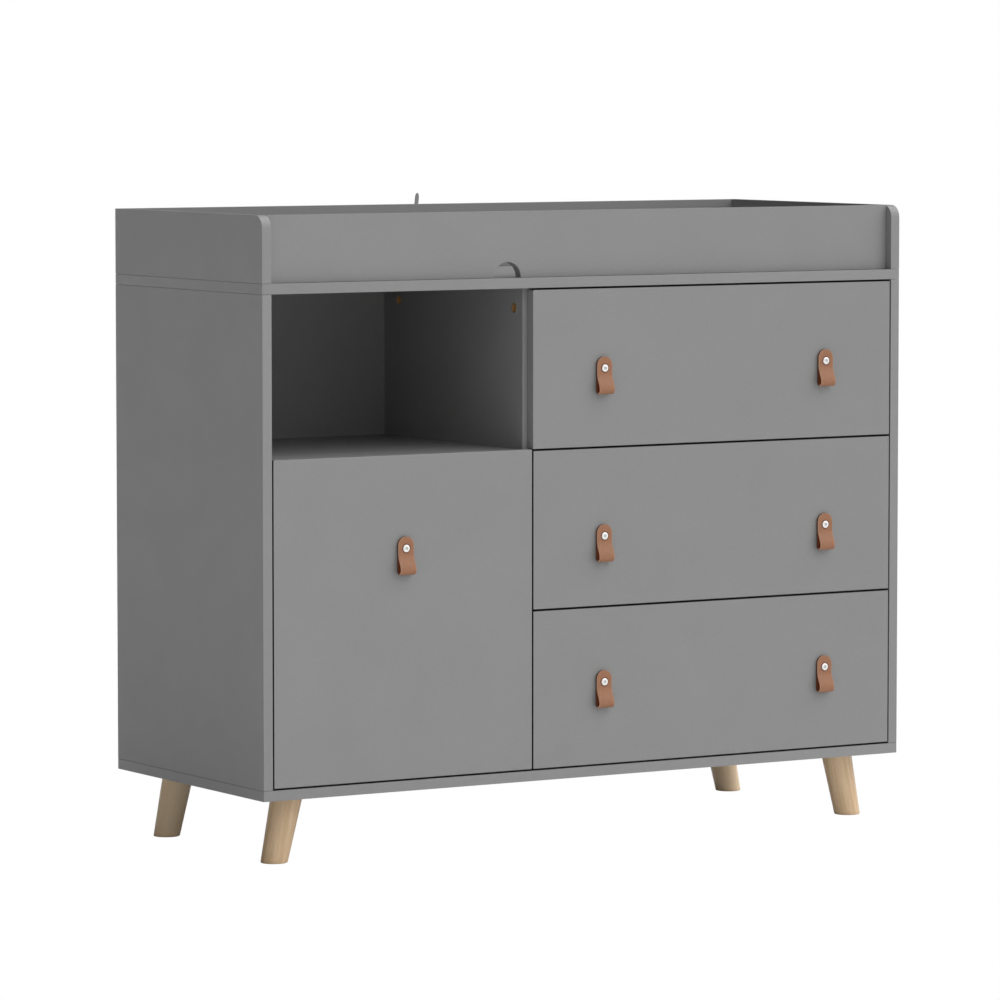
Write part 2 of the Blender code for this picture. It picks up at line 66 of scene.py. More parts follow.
class Slot(str, Enum):
    """The record's material slots, one for each finish on the table."""

    PAINT = "grey_paint"
    FOIL = "grey_foil"
    BEECH = "beech"
    LEATHER = "tan_leather"
    NICKEL = "nickel"
    STEEL = "zinc_steel"
    NYLON = "grey_nylon"
    BRONZE = "bronzed_zinc"


class Facing(Enum):
    """Which way a board's broad faces look, as the world axes of its outline and its thickness."""

    UP = (0, 1, 2)
    SIDEWAYS = (1, 2, 0)
    FORWARD = (2, 0, 1)


class Side(Enum):
    """A side of a drawer's front, seen from the front."""

    TOP = "top"
    BOTTOM = "bottom"
    LEFT = "left"
    RIGHT = "right"


# Finishes ----------------------------------------------------------------------------------------


class Graph:
    """A material's node tree, with short ways to add nodes and join them."""

    def __init__(self, holder: bpy.types.Material | bpy.types.World) -> None:
        """Starts on a new material or world.

        Args:
            holder: What the node tree belongs to.
        """
        holder.use_nodes = True
        self.holder = holder
        self.tree = holder.node_tree

    @classmethod
    def material(cls, name: str) -> "Graph":
        """Starts a new material, which holds a Principled shader."""
        return cls(bpy.data.materials.new(name))

    def add(self, kind: str, inputs: dict | None = None, **settings: object) -> bpy.types.Node:
        """Adds a node, sets its properties, then sets or joins its inputs.

        Args:
            kind: The node's type after "ShaderNode".
            inputs: Socket name or number to a value or an output socket.
            **settings: The node's own properties.

        Returns:
            The new node.
        """
        node = self.tree.nodes.new("ShaderNode" + kind)
        for name, value in settings.items():
            setattr(node, name, value)
        for key, value in (inputs or {}).items():
            self.feed(node.inputs[key], value)
        return node

    def feed(self, socket: bpy.types.NodeSocket, value: object) -> None:
        """Joins an output to a socket, or sets the socket to a plain value."""
        if isinstance(value, bpy.types.NodeSocket):
            self.tree.links.new(value, socket)
        else:
            socket.default_value = value

    def object_space(self, scale: tuple[float, float, float] = (1, 1, 1)) -> bpy.types.NodeSocket:
        """Object coordinates, stretched by a scale on each axis.

        Args:
            scale: Pattern cycles per metre along X, Y and Z.

        Returns:
            The stretched vector.
        """
        place = self.add("TexCoord").outputs["Object"]
        return self.add("Mapping", {"Vector": place, "Scale": scale}).outputs["Vector"]

    def own(self, name: str, kind: str = "Vector") -> bpy.types.NodeSocket:
        """The piece's own attribute of that name, as a vector or a factor."""
        node = self.add("Attribute", attribute_name=name)
        return node.outputs[kind]

    def noise(
        self, space: bpy.types.NodeSocket, scale: float, detail: float = 3.0, rough: float = 0.5
    ) -> bpy.types.NodeSocket:
        """A noise value between 0 and 1.

        Args:
            space: The coordinates that it reads.
            scale: Cycles per unit of those coordinates.
            detail: How many finer layers are added.
            rough: The share of each finer layer.

        Returns:
            The noise value.
        """
        inputs = {"Vector": space, "Scale": scale, "Detail": detail, "Roughness": rough}
        return self.add("TexNoise", inputs).outputs["Fac"]

    def ramp(
        self, value: bpy.types.NodeSocket, low: float, high: float, start: float, end: float
    ) -> bpy.types.NodeSocket:
        """Maps a value from one range onto another, held at both ends.

        Args:
            value: The value to map.
            low: Where the first range starts.
            high: Where the first range ends.
            start: What low becomes.
            end: What high becomes.

        Returns:
            The mapped value.
        """
        inputs = {0: value, 1: low, 2: high, 3: start, 4: end}
        return self.add("MapRange", inputs).outputs[0]

    def combine(
        self, first: object, second: object, operation: str = "ADD"
    ) -> bpy.types.NodeSocket:
        """Two values put through a Math operation, or added if none is named."""
        return self.add("Math", {0: first, 1: second}, operation=operation).outputs[0]

    def mix(
        self, share: object, first: object, second: object, blend: str = "MIX"
    ) -> bpy.types.NodeSocket:
        """Blends two colours.

        Args:
            share: How much of the second colour shows.
            first: A colour of four numbers, or a socket.
            second: A colour of four numbers, or a socket.
            blend: The blend mode.

        Returns:
            The blended colour.
        """
        node = self.add("Mix", data_type="RGBA", blend_type=blend)
        self.feed(node.inputs[0], share)
        self.feed(node.inputs[6], first)
        self.feed(node.inputs[7], second)
        return node.outputs[2]

    def bump(
        self, height: bpy.types.NodeSocket, depth: float, under: object = None
    ) -> bpy.types.NodeSocket:
        """A bumped normal.

        Args:
            height: The height, 0 to 1.
            depth: The real height of a step from 0 to 1, in metres.
            under: A normal to add the bump to, if any.

        Returns:
            The normal.
        """
        inputs = {"Height": height, "Strength": 1.0, "Distance": depth}
        if under is not None:
            inputs["Normal"] = under
        return self.add("Bump", inputs).outputs["Normal"]

    def finish(self, **inputs: object) -> bpy.types.Material:
        """Feeds the Principled shader, whose socket names are given with _ for a space.

        Args:
            **inputs: Socket name to value or output socket.

        Returns:
            The finished material.
        """
        shader = self.tree.nodes["Principled BSDF"]
        for name, value in inputs.items():
            socket = name.replace("_", " ").title().replace("Ior", "IOR")
            self.feed(shader.inputs[socket], value)
        return self.holder


def tone(colour: Colour, gain: float = 1.0) -> tuple[float, float, float, float]:
    """A colour times a gain, with an opaque alpha."""
    return (colour[0] * gain, colour[1] * gain, colour[2] * gain, 1.0)


@dataclass(frozen=True)
class SatinPaint:
    """Sprayed satin paint on board: a faint mottle, orange peel, softly worn edges, and painted
    shade on edges that face a gap.

    Attributes:
        name: The material's name.
        colour: The paint's colour.
        roughness: Its middle roughness.
        mottle: How much the tone rises and falls.
        peel_scale: Cycles of orange peel per metre.
        peel_depth: The height of the orange peel.
        edge_gain: How much lighter a worn edge is.
        gap_shade_gain: What share of the paint's tone an edge keeps where the shade in a gap is
            painted.
    """

    name: str
    colour: Colour
    roughness: float
    mottle: float = 0.025
    peel_scale: float = 420.0
    peel_depth: float = 0.000035
    edge_gain: float = 1.10
    gap_shade_gain: float = 0.03

    def build(self) -> bpy.types.Material:
        """Makes the material: cloudy colour, slight sheen changes and a fine sprayed texture.

        Returns:
            The material.
        """
        graph = Graph.material(self.name)
        space = graph.object_space()
        cloud = graph.noise(space, 9.0, 4.0, 0.55)
        fine = graph.noise(space, 1400.0, 2.0, 0.6)
        shade = graph.mix(
            graph.ramp(cloud, 0.3, 0.7, 0.0, 1.0),
            tone(self.colour, 1.0 - self.mottle),
            tone(self.colour, 1.0 + self.mottle),
        )
        speck = graph.ramp(fine, 0.35, 0.65, 0.0, 1.0)
        shade = graph.mix(speck, shade, graph.mix(0.04, shade, (1, 1, 1, 1)))
        scuff = graph.ramp(graph.noise(space, 60.0, 5.0, 0.7), 0.42, 0.62, 0.25, 1.0)
        worn = graph.combine(graph.own("rim", "Fac"), scuff, "MULTIPLY")
        shade = graph.mix(worn, shade, tone(self.colour, self.edge_gain))
        # Painted shade: edges that face a gap between parts are darkened almost to black.
        gap_shaded = graph.own("gap_shaded", "Fac")
        shade = graph.mix(gap_shaded, shade, tone(self.colour, self.gap_shade_gain))
        gloss = graph.ramp(graph.noise(space, 26.0, 5.0, 0.6), 0.3, 0.7, -0.035, 0.035)
        peel = graph.noise(space, self.peel_scale, 2.0, 0.4)
        wave = graph.noise(space, 14.0, 1.0, 0.4)
        normal = graph.bump(wave, 0.00012)
        return graph.finish(
            base_color=shade,
            roughness=graph.combine(gloss, self.roughness),
            # The painted gap shade also takes the shine off those edges.
            specular_ior_level=graph.ramp(gap_shaded, 0.0, 1.0, 0.5, 0.0),
            normal=graph.bump(peel, self.peel_depth, normal),
        )


@dataclass(frozen=True)
class TurnedBeech:
    """Pale lacquered beech: long fibres, short dark flecks and soft growth bands.

    Attributes:
        name: The material's name.
        light: The colour of the early wood.
        dark: The colour of the bands and fibres.
        fleck: The colour of the short rays.
        painted_fill_colour: The paler colour that a leg with the fill mark leans to, painted light
            for legs in the cabinet's shade.
        roughness: The lacquer's middle roughness.
    """

    name: str
    light: Colour
    dark: Colour
    fleck: Colour
    painted_fill_colour: Colour
    roughness: float

    def build(self) -> bpy.types.Material:
        """Makes the material from the leg's own grain coordinates, whose Z runs along the leg.

        A leg's fill attribute says how far its wood leans to the paler colour: painted light that
        lifts the rear legs out of the cabinet's shade.

        Returns:
            The material.
        """
        graph = Graph.material(self.name)
        grain = graph.own("grain")
        long = graph.add("Mapping", {"Vector": grain, "Scale": (90.0, 90.0, 3.2)}).outputs["Vector"]
        fibre = graph.noise(long, 6.0, 6.0, 0.65)
        warp = graph.add("Mapping", {"Vector": grain, "Scale": (1.0, 1.0, 0.09)}).outputs["Vector"]
        bands = graph.add(
            "TexWave",
            {
                "Vector": warp,
                "Scale": 55.0,
                "Distortion": 3.5,
                "Detail": 3.0,
                "Detail Scale": 1.4,
                "Detail Roughness": 0.6,
            },
            wave_type="BANDS",
            bands_direction="DIAGONAL",
        ).outputs["Fac"]
        short = graph.add("Mapping", {"Vector": grain, "Scale": (900.0, 900.0, 190.0)})
        cells = graph.add("TexVoronoi", {"Vector": short.outputs["Vector"], "Scale": 1.0})
        rays = graph.ramp(cells.outputs["Distance"], 0.10, 0.24, 1.0, 0.0)
        band = graph.ramp(bands, 0.15, 0.95, 0.0, 0.75)
        body = graph.mix(band, tone(self.light), tone(self.dark))
        body = graph.mix(graph.ramp(fibre, 0.38, 0.62, 0.0, 0.55), body, tone(self.dark, 0.93))
        body = graph.mix(graph.combine(rays, 0.42, "MULTIPLY"), body, tone(self.fleck))
        # Painted light: legs in the cabinet's shade lean to a paler colour.
        body = graph.mix(graph.own("painted_fill", "Fac"), body, tone(self.painted_fill_colour))
        end = graph.own("rim", "Fac")
        body = graph.mix(graph.combine(end, 0.35, "MULTIPLY"), body, tone(self.dark, 0.8))
        rough = graph.ramp(fibre, 0.3, 0.7, self.roughness - 0.05, self.roughness + 0.07)
        relief = graph.combine(fibre, graph.combine(rays, 0.5, "MULTIPLY"), "SUBTRACT")
        return graph.finish(
            base_color=body,
            roughness=rough,
            normal=graph.bump(relief, 0.00006),
            coat_weight=0.18,
            coat_roughness=0.22,
        )


@dataclass(frozen=True)
class StrapLeather:
    """Vegetable-tanned strap leather: pebbled grain, a suede back and cut edges.

    Attributes:
        name: The material's name.
        grain_side: The colour of the smooth side.
        flesh_side: The colour of the suede side.
        cut_edge: The colour of the outer layer's cut edges.
        back_edge_shade: The colour of the cut edges of the layer next to the front, darker as
            painted shade.
        roughness: Of the smooth side.
        cap_shade_radius: Where the painted shade round the screw's cap starts to fade.
        cap_shade_soft: Over how much it fades.
    """

    name: str
    grain_side: Colour
    flesh_side: Colour
    cut_edge: Colour
    back_edge_shade: Colour
    roughness: float
    cap_shade_radius: float = 0.0065
    cap_shade_soft: float = 0.0010

    def build(self) -> bpy.types.Material:
        """Makes the material from the strap's own flat coordinates.

        The attribute "strap" holds the place across, the place up from the screw, and a distance
        that sets the inner layer apart. A dark ring of painted shade lies round the screw's cap.
        The attribute "back" is 1 on the layer that lies against the front, whose cut edges get
        painted shade.

        Returns:
            The material.
        """
        graph = Graph.material(self.name)
        strap = graph.own("strap")
        mottle = graph.noise(strap, 95.0, 5.0, 0.6)
        cells = graph.add(
            "TexVoronoi", {"Vector": strap, "Scale": 1150.0, "Randomness": 1.0}, feature="F1"
        ).outputs["Distance"]
        wrinkle = graph.noise(strap, 420.0, 4.0, 0.62)
        hide = graph.mix(
            graph.ramp(mottle, 0.32, 0.70, 0.0, 1.0),
            tone(self.grain_side, 0.90),
            tone(self.grain_side, 1.10),
        )
        crease = graph.ramp(cells, 0.25, 0.62, 0.0, 0.28)
        hide = graph.mix(crease, hide, tone(self.grain_side, 0.62))
        distance = graph.add("VectorMath", {0: strap}, operation="LENGTH").outputs["Value"]
        # Painted shade: a dark ring round the screw's cap.
        ring = graph.ramp(
            distance, self.cap_shade_radius, self.cap_shade_radius + self.cap_shade_soft, 0.90, 0.0
        )
        hide = graph.mix(ring, hide, tone(self.flesh_side, 0.45))
        suede = graph.mix(
            graph.ramp(wrinkle, 0.3, 0.7, 0.0, 1.0),
            tone(self.flesh_side, 0.8),
            tone(self.flesh_side, 1.15),
        )
        shade = graph.mix(graph.own("flesh", "Fac"), hide, suede)
        fray = graph.ramp(graph.noise(strap, 700.0, 4.0, 0.7), 0.3, 0.7, 0.75, 1.0)
        edge = graph.combine(graph.own("rim", "Fac"), fray, "MULTIPLY")
        # Painted shade: the cut edges of the layer against the front take a dark colour.
        cut = graph.mix(graph.own("back", "Fac"), tone(self.cut_edge), tone(self.back_edge_shade))
        shade = graph.mix(edge, shade, cut)
        relief = graph.combine(cells, graph.combine(wrinkle, 0.8, "MULTIPLY"))
        rough = graph.ramp(mottle, 0.3, 0.7, self.roughness - 0.05, self.roughness + 0.08)
        rough = graph.combine(rough, graph.combine(graph.own("flesh", "Fac"), 0.4, "MULTIPLY"))
        return graph.finish(
            base_color=shade,
            roughness=rough,
            normal=graph.bump(relief, 0.00010),
            sheen_weight=0.04,
            sheen_roughness=0.5,
        )


@dataclass(frozen=True)
class PlatedMetal:
    """Plated or brushed metal with fine scratches and a slightly uneven shine.

    Attributes:
        name: The material's name.
        colour: The metal's colour.
        roughness: Its middle roughness.
        stretch: How fine the scratches are along X, Y and Z.
        scratch_depth: Their height.
        tarnish: How much darker the cloudy spots are.
        hollow: How much darker the marked hollows are.
        metallic: Below 1 where a clear matt lacquer scatters some light.
    """

    name: str
    colour: Colour
    roughness: float
    stretch: tuple[float, float, float] = (60.0, 60.0, 60.0)
    scratch_depth: float = 0.000004
    tarnish: float = 0.10
    # hollow: How much darker the points marked "rim" are, which in a screw's dimple is painted
    # shade.
    hollow: float = 0.40
    metallic: float = 1.0

    def build(self) -> bpy.types.Material:
        """Makes the material: metal with drawn scratches and a cloudy tone.

        Returns:
            The material.
        """
        graph = Graph.material(self.name)
        drawn = graph.noise(graph.object_space(self.stretch), 12.0, 5.0, 0.65)
        cloud = graph.noise(graph.object_space(), 130.0, 3.0, 0.6)
        shade = graph.mix(
            graph.ramp(cloud, 0.35, 0.7, 0.0, 1.0),
            tone(self.colour),
            tone(self.colour, 1.0 - self.tarnish),
        )
        # Painted shade: marked points, such as a screw's dimple, are darkened towards black.
        hollow = graph.combine(graph.own("rim", "Fac"), self.hollow, "MULTIPLY")
        shade = graph.mix(hollow, shade, (0, 0, 0, 1))
        rough = graph.ramp(drawn, 0.3, 0.7, self.roughness * 0.75, self.roughness * 1.3)
        return graph.finish(
            base_color=shade,
            metallic=self.metallic,
            roughness=rough,
            normal=graph.bump(drawn, self.scratch_depth),
        )


@dataclass(frozen=True)
class MouldedNylon:
    """Moulded grey nylon with a matt spark-eroded skin.

    Attributes:
        name: The material's name.
        colour: The nylon's colour.
        roughness: Its middle roughness.
    """

    name: str
    colour: Colour
    roughness: float

    def build(self) -> bpy.types.Material:
        """Makes the material: an even tone with faint clouds and fine pits.

        Returns:
            The material.
        """
        graph = Graph.material(self.name)
        space = graph.object_space()
        pits = graph.noise(space, 2600.0, 3.0, 0.6)
        cloud = graph.noise(space, 150.0, 2.0, 0.5)
        shade = graph.mix(cloud, tone(self.colour, 0.94), tone(self.colour, 1.06))
        return graph.finish(
            base_color=shade,
            roughness=graph.ramp(pits, 0.3, 0.7, self.roughness - 0.06, self.roughness + 0.06),
            normal=graph.bump(pits, 0.00003),
        )


FINISHES = {
    Slot.PAINT: SatinPaint("satin_grey_paint", (0.2400, 0.2400, 0.2400), 0.46),
    Slot.FOIL: SatinPaint(
        "light_grey_foil",
        (0.470, 0.468, 0.462),
        0.50,
        mottle=0.012,
        peel_scale=900.0,
        peel_depth=0.00002,
        edge_gain=0.92,
    ),
    Slot.BEECH: TurnedBeech(
        "lacquered_beech",
        light=(0.760, 0.555, 0.350),
        dark=(0.640, 0.440, 0.252),
        fleck=(0.400, 0.245, 0.125),
        # The paler colour is painted light for the rear legs, which stand in the cabinet's shade.
        painted_fill_colour=(0.900, 0.690, 0.460),
        roughness=0.42,
    ),
    Slot.LEATHER: StrapLeather(
        "tan_strap_leather",
        grain_side=(0.345, 0.152, 0.074),
        flesh_side=(0.260, 0.048, 0.006),
        cut_edge=(0.600, 0.340, 0.225),
        # The back layer's cut edges are painted shade.
        back_edge_shade=(0.048, 0.023, 0.013),
        roughness=0.52,
    ),
    Slot.NICKEL: PlatedMetal("satin_nickel", (0.96, 0.95, 0.94), 0.44, tarnish=0.03, metallic=0.6),
    Slot.STEEL: PlatedMetal(
        "zinc_plated_steel", (0.62, 0.63, 0.65), 0.34, stretch=(90.0, 5.0, 90.0)
    ),
    Slot.NYLON: MouldedNylon("grey_nylon", (0.300, 0.300, 0.302), 0.42),
    Slot.BRONZE: PlatedMetal("bronzed_zinc", (0.86, 0.52, 0.22), 0.45, tarnish=0.30),
}


# Surfaces ----------------------------------------------------------------------------------------


@dataclass
class Shell:
    """One closed surface: its points, faces, and what is known at each point.

    Attributes:
        points: An (n, 3) array of places.
        quads: An (m, 4) array of point numbers.
        caps: Rings of point numbers that close the ends as many-sided faces.
        normals: An (n, 3) array of exact normals, or None to shade by angle.
        marks: Named values at the points, of one or three numbers each.
    """

    points: Array
    quads: Array
    caps: list[Array] = field(default_factory=list)
    normals: Array | None = None
    marks: dict[str, Array] = field(default_factory=dict)


def merged(shells: list[Shell]) -> Shell:
    """Several separate surfaces, shaded by angle, as one shell.

    Args:
        shells: Surfaces that carry the same marks.

    Returns:
        Their points, faces and marks in one shell.
    """
    starts = np.cumsum([0] + [len(shell.points) for shell in shells[:-1]])
    pairs = list(zip(shells, starts))
    return Shell(
        np.concatenate([shell.points for shell in shells]),
        np.concatenate([shell.quads + start for shell, start in pairs]),
        [cap + start for shell, start in pairs for cap in shell.caps],
        marks={
            name: np.concatenate([shell.marks[name] for shell in shells])
            for name in shells[0].marks
        },
    )


def band_quads(rings: int, around: int) -> Array:
    """Quads between rings that follow one another, each ring closed on itself.

    Args:
        rings: How many rings there are.
        around: How many points each ring has.

    Returns:
        An (m, 4) array: a point, the next on its ring, and the two above them.
    """
    ring, place = np.meshgrid(np.arange(rings - 1), np.arange(around), indexing="ij")
    following = (place + 1) % around
    corners = [
        ring * around + place,
        ring * around + following,
        (ring + 1) * around + following,
        (ring + 1) * around + place,
    ]
    return np.stack(corners, axis=-1).reshape(-1, 4)


def end_caps(rings: int, around: int) -> list[Array]:
    """The first ring backwards and the last ring forwards, as two faces that look outwards."""
    return [np.arange(around)[::-1], np.arange(around) + (rings - 1) * around]


def filleted(corners: list[tuple[float, float]], radii: list[float] | float, steps: int) -> Array:
    """A closed outline whose corners are arcs.

    At each corner the arc touches both sides at radius / tan(half the corner's angle) from it, and
    its centre lies on the bisector at radius / sin(half the angle). The arc's points come from
    turning the first touching point about the centre by equal parts of pi less the angle.

    Args:
        corners: The corners, anticlockwise.
        radii: One radius for each corner, or one for all.
        steps: The number of chords in each arc.

    Returns:
        An (n, 2) array of points, anticlockwise.
    """
    corner = np.array(corners, float)
    radius = np.broadcast_to(np.array(radii, float), (len(corner),))[:, None]
    back = np.roll(corner, 1, axis=0) - corner
    ahead = np.roll(corner, -1, axis=0) - corner
    back /= np.linalg.norm(back, axis=1, keepdims=True)
    ahead /= np.linalg.norm(ahead, axis=1, keepdims=True)
    angle = np.arccos(np.clip((back * ahead).sum(1, keepdims=True), -1, 1))
    bisector = (back + ahead) / np.linalg.norm(back + ahead, axis=1, keepdims=True)
    centre = corner + bisector * radius / np.sin(angle / 2)
    arm = corner + back * radius / np.tan(angle / 2) - centre
    turn = np.sign(ahead[:, 0] * back[:, 1] - ahead[:, 1] * back[:, 0])[:, None]
    sweep = turn * (math.pi - angle) * np.linspace(0, 1, steps + 1)[None, :]
    cosine, sine = np.cos(sweep), np.sin(sweep)
    across = centre[:, :1] + arm[:, :1] * cosine - arm[:, 1:] * sine
    up = centre[:, 1:] + arm[:, :1] * sine + arm[:, 1:] * cosine
    return np.stack([across, up], axis=-1).reshape(-1, 2)


def rectangle(low: tuple[float, float], high: tuple[float, float]) -> list[tuple[float, float]]:
    """The four corners between two points, anticlockwise."""
    return [low, (high[0], low[1]), high, (low[0], high[1])]


def slab(outline: Array, low: float, high: float, ease: float, facing: Facing) -> Shell:
    """A board of any outline with its rims eased to a quarter round.

    The outline is copied into rings. A ring at angle a of the quarter round is drawn in by
    ease * (1 - sin a) along the outline's mitred normals, and lies ease * (1 - cos a) from the
    face. The normal there is the outline's normal times sin a, plus the face's times cos a.

    Args:
        outline: The outline, anticlockwise, on the two axes that facing names first.
        low: Where the board starts along its thickness.
        high: Where it ends.
        ease: The rims' radius.
        facing: Which world axes the outline and the thickness run along.

    Returns:
        The shell, with the mark "rim", which is 1 on the eased rims and the edges between them.
    """
    ahead = np.roll(outline, -1, axis=0) - outline
    ahead /= np.linalg.norm(ahead, axis=1, keepdims=True)
    outward = np.stack([ahead[:, 1], -ahead[:, 0]], axis=1)
    before = np.roll(outward, 1, axis=0)
    mitre = (outward + before) / (1 + (outward * before).sum(1, keepdims=True))
    unit = mitre / np.linalg.norm(mitre, axis=1, keepdims=True)
    angle = np.linspace(0, math.pi / 2, RIM_STEPS + 1)
    inset = np.concatenate([ease * (1 - np.sin(angle)), ease * (1 - np.sin(angle[::-1]))])
    rise = ease * (1 - np.cos(angle))
    level = np.concatenate([low + rise, high - rise[::-1]])
    flat = outline[None] - inset[:, None, None] * mitre[None]
    local = np.concatenate(
        [flat, np.broadcast_to(level[:, None, None], (*flat.shape[:2], 1))], axis=2
    )
    lean = np.concatenate([np.sin(angle), np.sin(angle[::-1])])
    tilt = np.concatenate([-np.cos(angle), np.cos(angle[::-1])])
    normal = np.concatenate(
        [
            lean[:, None, None] * unit[None],
            np.broadcast_to(tilt[:, None, None], (*flat.shape[:2], 1)),
        ],
        axis=2,
    )
    axes = list(facing.value)
    points, normals = np.empty_like(local), np.empty_like(normal)
    points[..., axes], normals[..., axes] = local, normal
    rings, around = flat.shape[:2]
    rim = np.broadcast_to(lean[:, None] > 0, (rings, around)).astype(float)
    return Shell(
        points.reshape(-1, 3),
        band_quads(rings, around),
        end_caps(rings, around),
        normals.reshape(-1, 3),
        {"rim": rim.reshape(-1)},
    )


def board(low: Vector, high: Vector, ease: float) -> Shell:
    """A rectangular board with all of its edges eased.

    Args:
        low: Its lowest corner.
        high: Its highest corner.
        ease: The radius of its edges.

    Returns:
        The shell, laid with its thickness along its thinnest axis.
    """
    thin = min(range(3), key=lambda axis: high[axis] - low[axis])
    facing = next(item for item in Facing if item.value[2] == thin)
    first, second, depth = facing.value
    corners = rectangle((low[first], low[second]), (high[first], high[second]))
    outline = filleted(corners, ease * CORNER_SHARE, RIM_STEPS)
    return slab(outline, low[depth], high[depth], ease, facing)


def turned(profile: Array, sides: int) -> Shell:
    """A profile of (radius, height) rows turned about Z, from the lower end up.

    The point at row i and angle t is (radius_i cos t, radius_i sin t, height_i).

    Args:
        profile: An (n, 2) array whose first and last radii are above 0.
        sides: How many points each ring has.

    Returns:
        The shell about the origin.
    """
    angle = np.linspace(0, math.tau, sides, endpoint=False)
    radius, height = profile[:, :1], profile[:, 1:]
    points = np.stack(
        [radius * np.cos(angle), radius * np.sin(angle), height + 0 * angle], axis=-1
    )
    return Shell(
        points.reshape(-1, 3),
        band_quads(len(profile), sides),
        end_caps(len(profile), sides),
        marks={"rim": np.zeros(len(profile) * sides)},
    )


def laid(shell: Shell, axes: Array, place: Vector) -> Shell:
    """A shell turned so that its X, Y and Z run along three unit vectors, and moved to a place.

    Args:
        shell: The shell about the origin, shaded by angle.
        axes: A (3, 3) array whose rows are the new directions of X, Y and Z.
        place: Where the origin goes.

    Returns:
        The same shell, moved.
    """
    shell.points = shell.points @ axes + np.array(place)
    return shell


# A fitting's own X, Y and Z when its head, which faces its own +Z, looks that way.
TO_FRONT = np.array([[1, 0, 0], [0, 0, 1], [0, -1, 0]], float)
TO_BACK = np.array([[1, 0, 0], [0, 0, -1], [0, 1, 0]], float)
TO_LEFT = np.array([[0, -1, 0], [0, 0, 1], [-1, 0, 0]], float)
TO_RIGHT = np.array([[0, 1, 0], [0, 0, 1], [1, 0, 0]], float)


@dataclass
class Bench:
    """Turns shells into pieces of the scene.

    Attributes:
        materials: Each slot's material.
        count: How many pieces were made so far.
    """

    materials: dict[Slot, bpy.types.Material]
    count: int = 0

    def mesh(self, name: str, shell: Shell) -> bpy.types.Mesh:
        """Puts a shell's points, faces, normals and marks into a mesh.

        Args:
            name: The mesh's name.
            shell: The surface.

        Returns:
            The mesh.
        """
        mesh = bpy.data.meshes.new(name)
        faces = shell.quads.tolist() + [cap.tolist() for cap in shell.caps]
        mesh.from_pydata(shell.points.tolist(), [], faces)
        for mark, values in shell.marks.items():
            kind = "FLOAT" if values.ndim == 1 else "FLOAT_VECTOR"
            store = mesh.attributes.new(mark, kind, "POINT")
            store.data.foreach_set("value" if values.ndim == 1 else "vector", values.ravel())
        mesh.shade_smooth()
        if shell.normals is None:
            mesh.set_sharp_from_angle(angle=SHARP_ANGLE)
        else:
            length = np.linalg.norm(shell.normals, axis=1, keepdims=True)
            mesh.normals_split_custom_set_from_vertices((shell.normals / length).tolist())
        mesh.update()
        return mesh

    def piece(self, name: str, shell: Shell, slot: Slot, body: str, *nodes: str) -> None:
        """Makes a piece, dresses it, and hangs it on its body.

        Args:
            name: The piece's name.
            shell: Its surface.
            slot: Its finish.
            body: The body that it moves with.
            *nodes: The solids that it stands for.
        """
        mesh = self.mesh(name, shell)
        mesh.materials.append(self.materials[slot])
        thing = bpy.data.objects.new(name, mesh)
        bpy.context.scene.collection.objects.link(thing)
        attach(thing, body)
        if nodes:
            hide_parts(*nodes)
        self.count += 1
        LOG.info("%s: %d points, %s, on %s", name, len(shell.points), slot.value, body)

    def boards(self, nodes: list[str], slot: Slot, body: str, ease: float) -> None:
        """Stands an eased board in for each rectangular solid.

        Args:
            nodes: The solids.
            slot: Their finish.
            body: The body that they move with.
            ease: The radius of their edges.
        """
        for node in nodes:
            low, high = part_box(node)
            self.piece(node + "_board", board(low, high, ease), slot, body, node)


# Fittings ----------------------------------------------------------------------------------------


@dataclass(frozen=True)
class CrossHead:
    """A round head with a cross recess, seen end on: a screw or a cam lock.

    Attributes:
        radius: Of the head.
        height: From the seat to the head's top.
        dome: How much the top rises to its middle.
        arm: From the middle to the end of each arm of the cross.
        slot: Half the width of an arm.
        recess: How deep the cross is.
        rim_share: The rounded rim's radius as a share of the head's.
        slope_share: The width of the cross's sloped sides as a share of slot.
        pinhole_share: The innermost ring's radius as a share of the top's.
        rings: Rings on the top.
        sides: Points on a ring.
    """

    radius: float
    height: float
    dome: float
    arm: float
    slot: float
    recess: float
    rim_share: float = 0.12
    slope_share: float = 0.35
    pinhole_share: float = 0.015
    rings: int = 26
    sides: int = 64

    def shell(self) -> Shell:
        """The head about the origin, seated on z = 0 and facing +Z.

        The top is a polar grid. Its height is the dome, dome * (1 - (r / radius) squared), less the
        recess where a point lies within an arm: where the smaller of |x| and |y| is under the
        slot's half width and the larger is under the arm's length, each blended over a short slope.

        Returns:
            The shell.
        """
        rim = self.rim_share * self.radius
        share = np.linspace(1, self.pinhole_share, self.rings)
        radius = (self.radius - rim) * share
        angle = np.linspace(0, math.tau, self.sides, endpoint=False)
        x = radius[:, None] * np.cos(angle)
        y = radius[:, None] * np.sin(angle)
        narrow, wide = np.minimum(abs(x), abs(y)), np.maximum(abs(x), abs(y))
        slope = self.slope_share * self.slot
        inside = np.clip((self.slot - narrow) / slope, 0, 1) * np.clip(
            (self.arm - wide) / slope, 0, 1
        )
        top = self.height - self.dome * share[:, None] ** 2 - self.recess * inside
        grid = np.stack([x, y, top], axis=-1)
        turn = np.linspace(0, math.pi / 2, RIM_STEPS + 1)
        shoulder = self.height - self.dome
        sides = np.concatenate([[0.0], shoulder - rim * (1 - np.sin(turn))])
        out = np.concatenate([[self.radius], self.radius - rim * (1 - np.cos(turn))])[:, None]
        wall = np.stack(
            [out * np.cos(angle), out * np.sin(angle), sides[:, None] + 0 * angle], axis=-1
        )
        points = np.concatenate([wall[:-1], grid])
        rings = len(points)
        return Shell(
            points.reshape(-1, 3),
            band_quads(rings, self.sides),
            end_caps(rings, self.sides),
            marks={"rim": np.zeros(rings * self.sides)},
        )


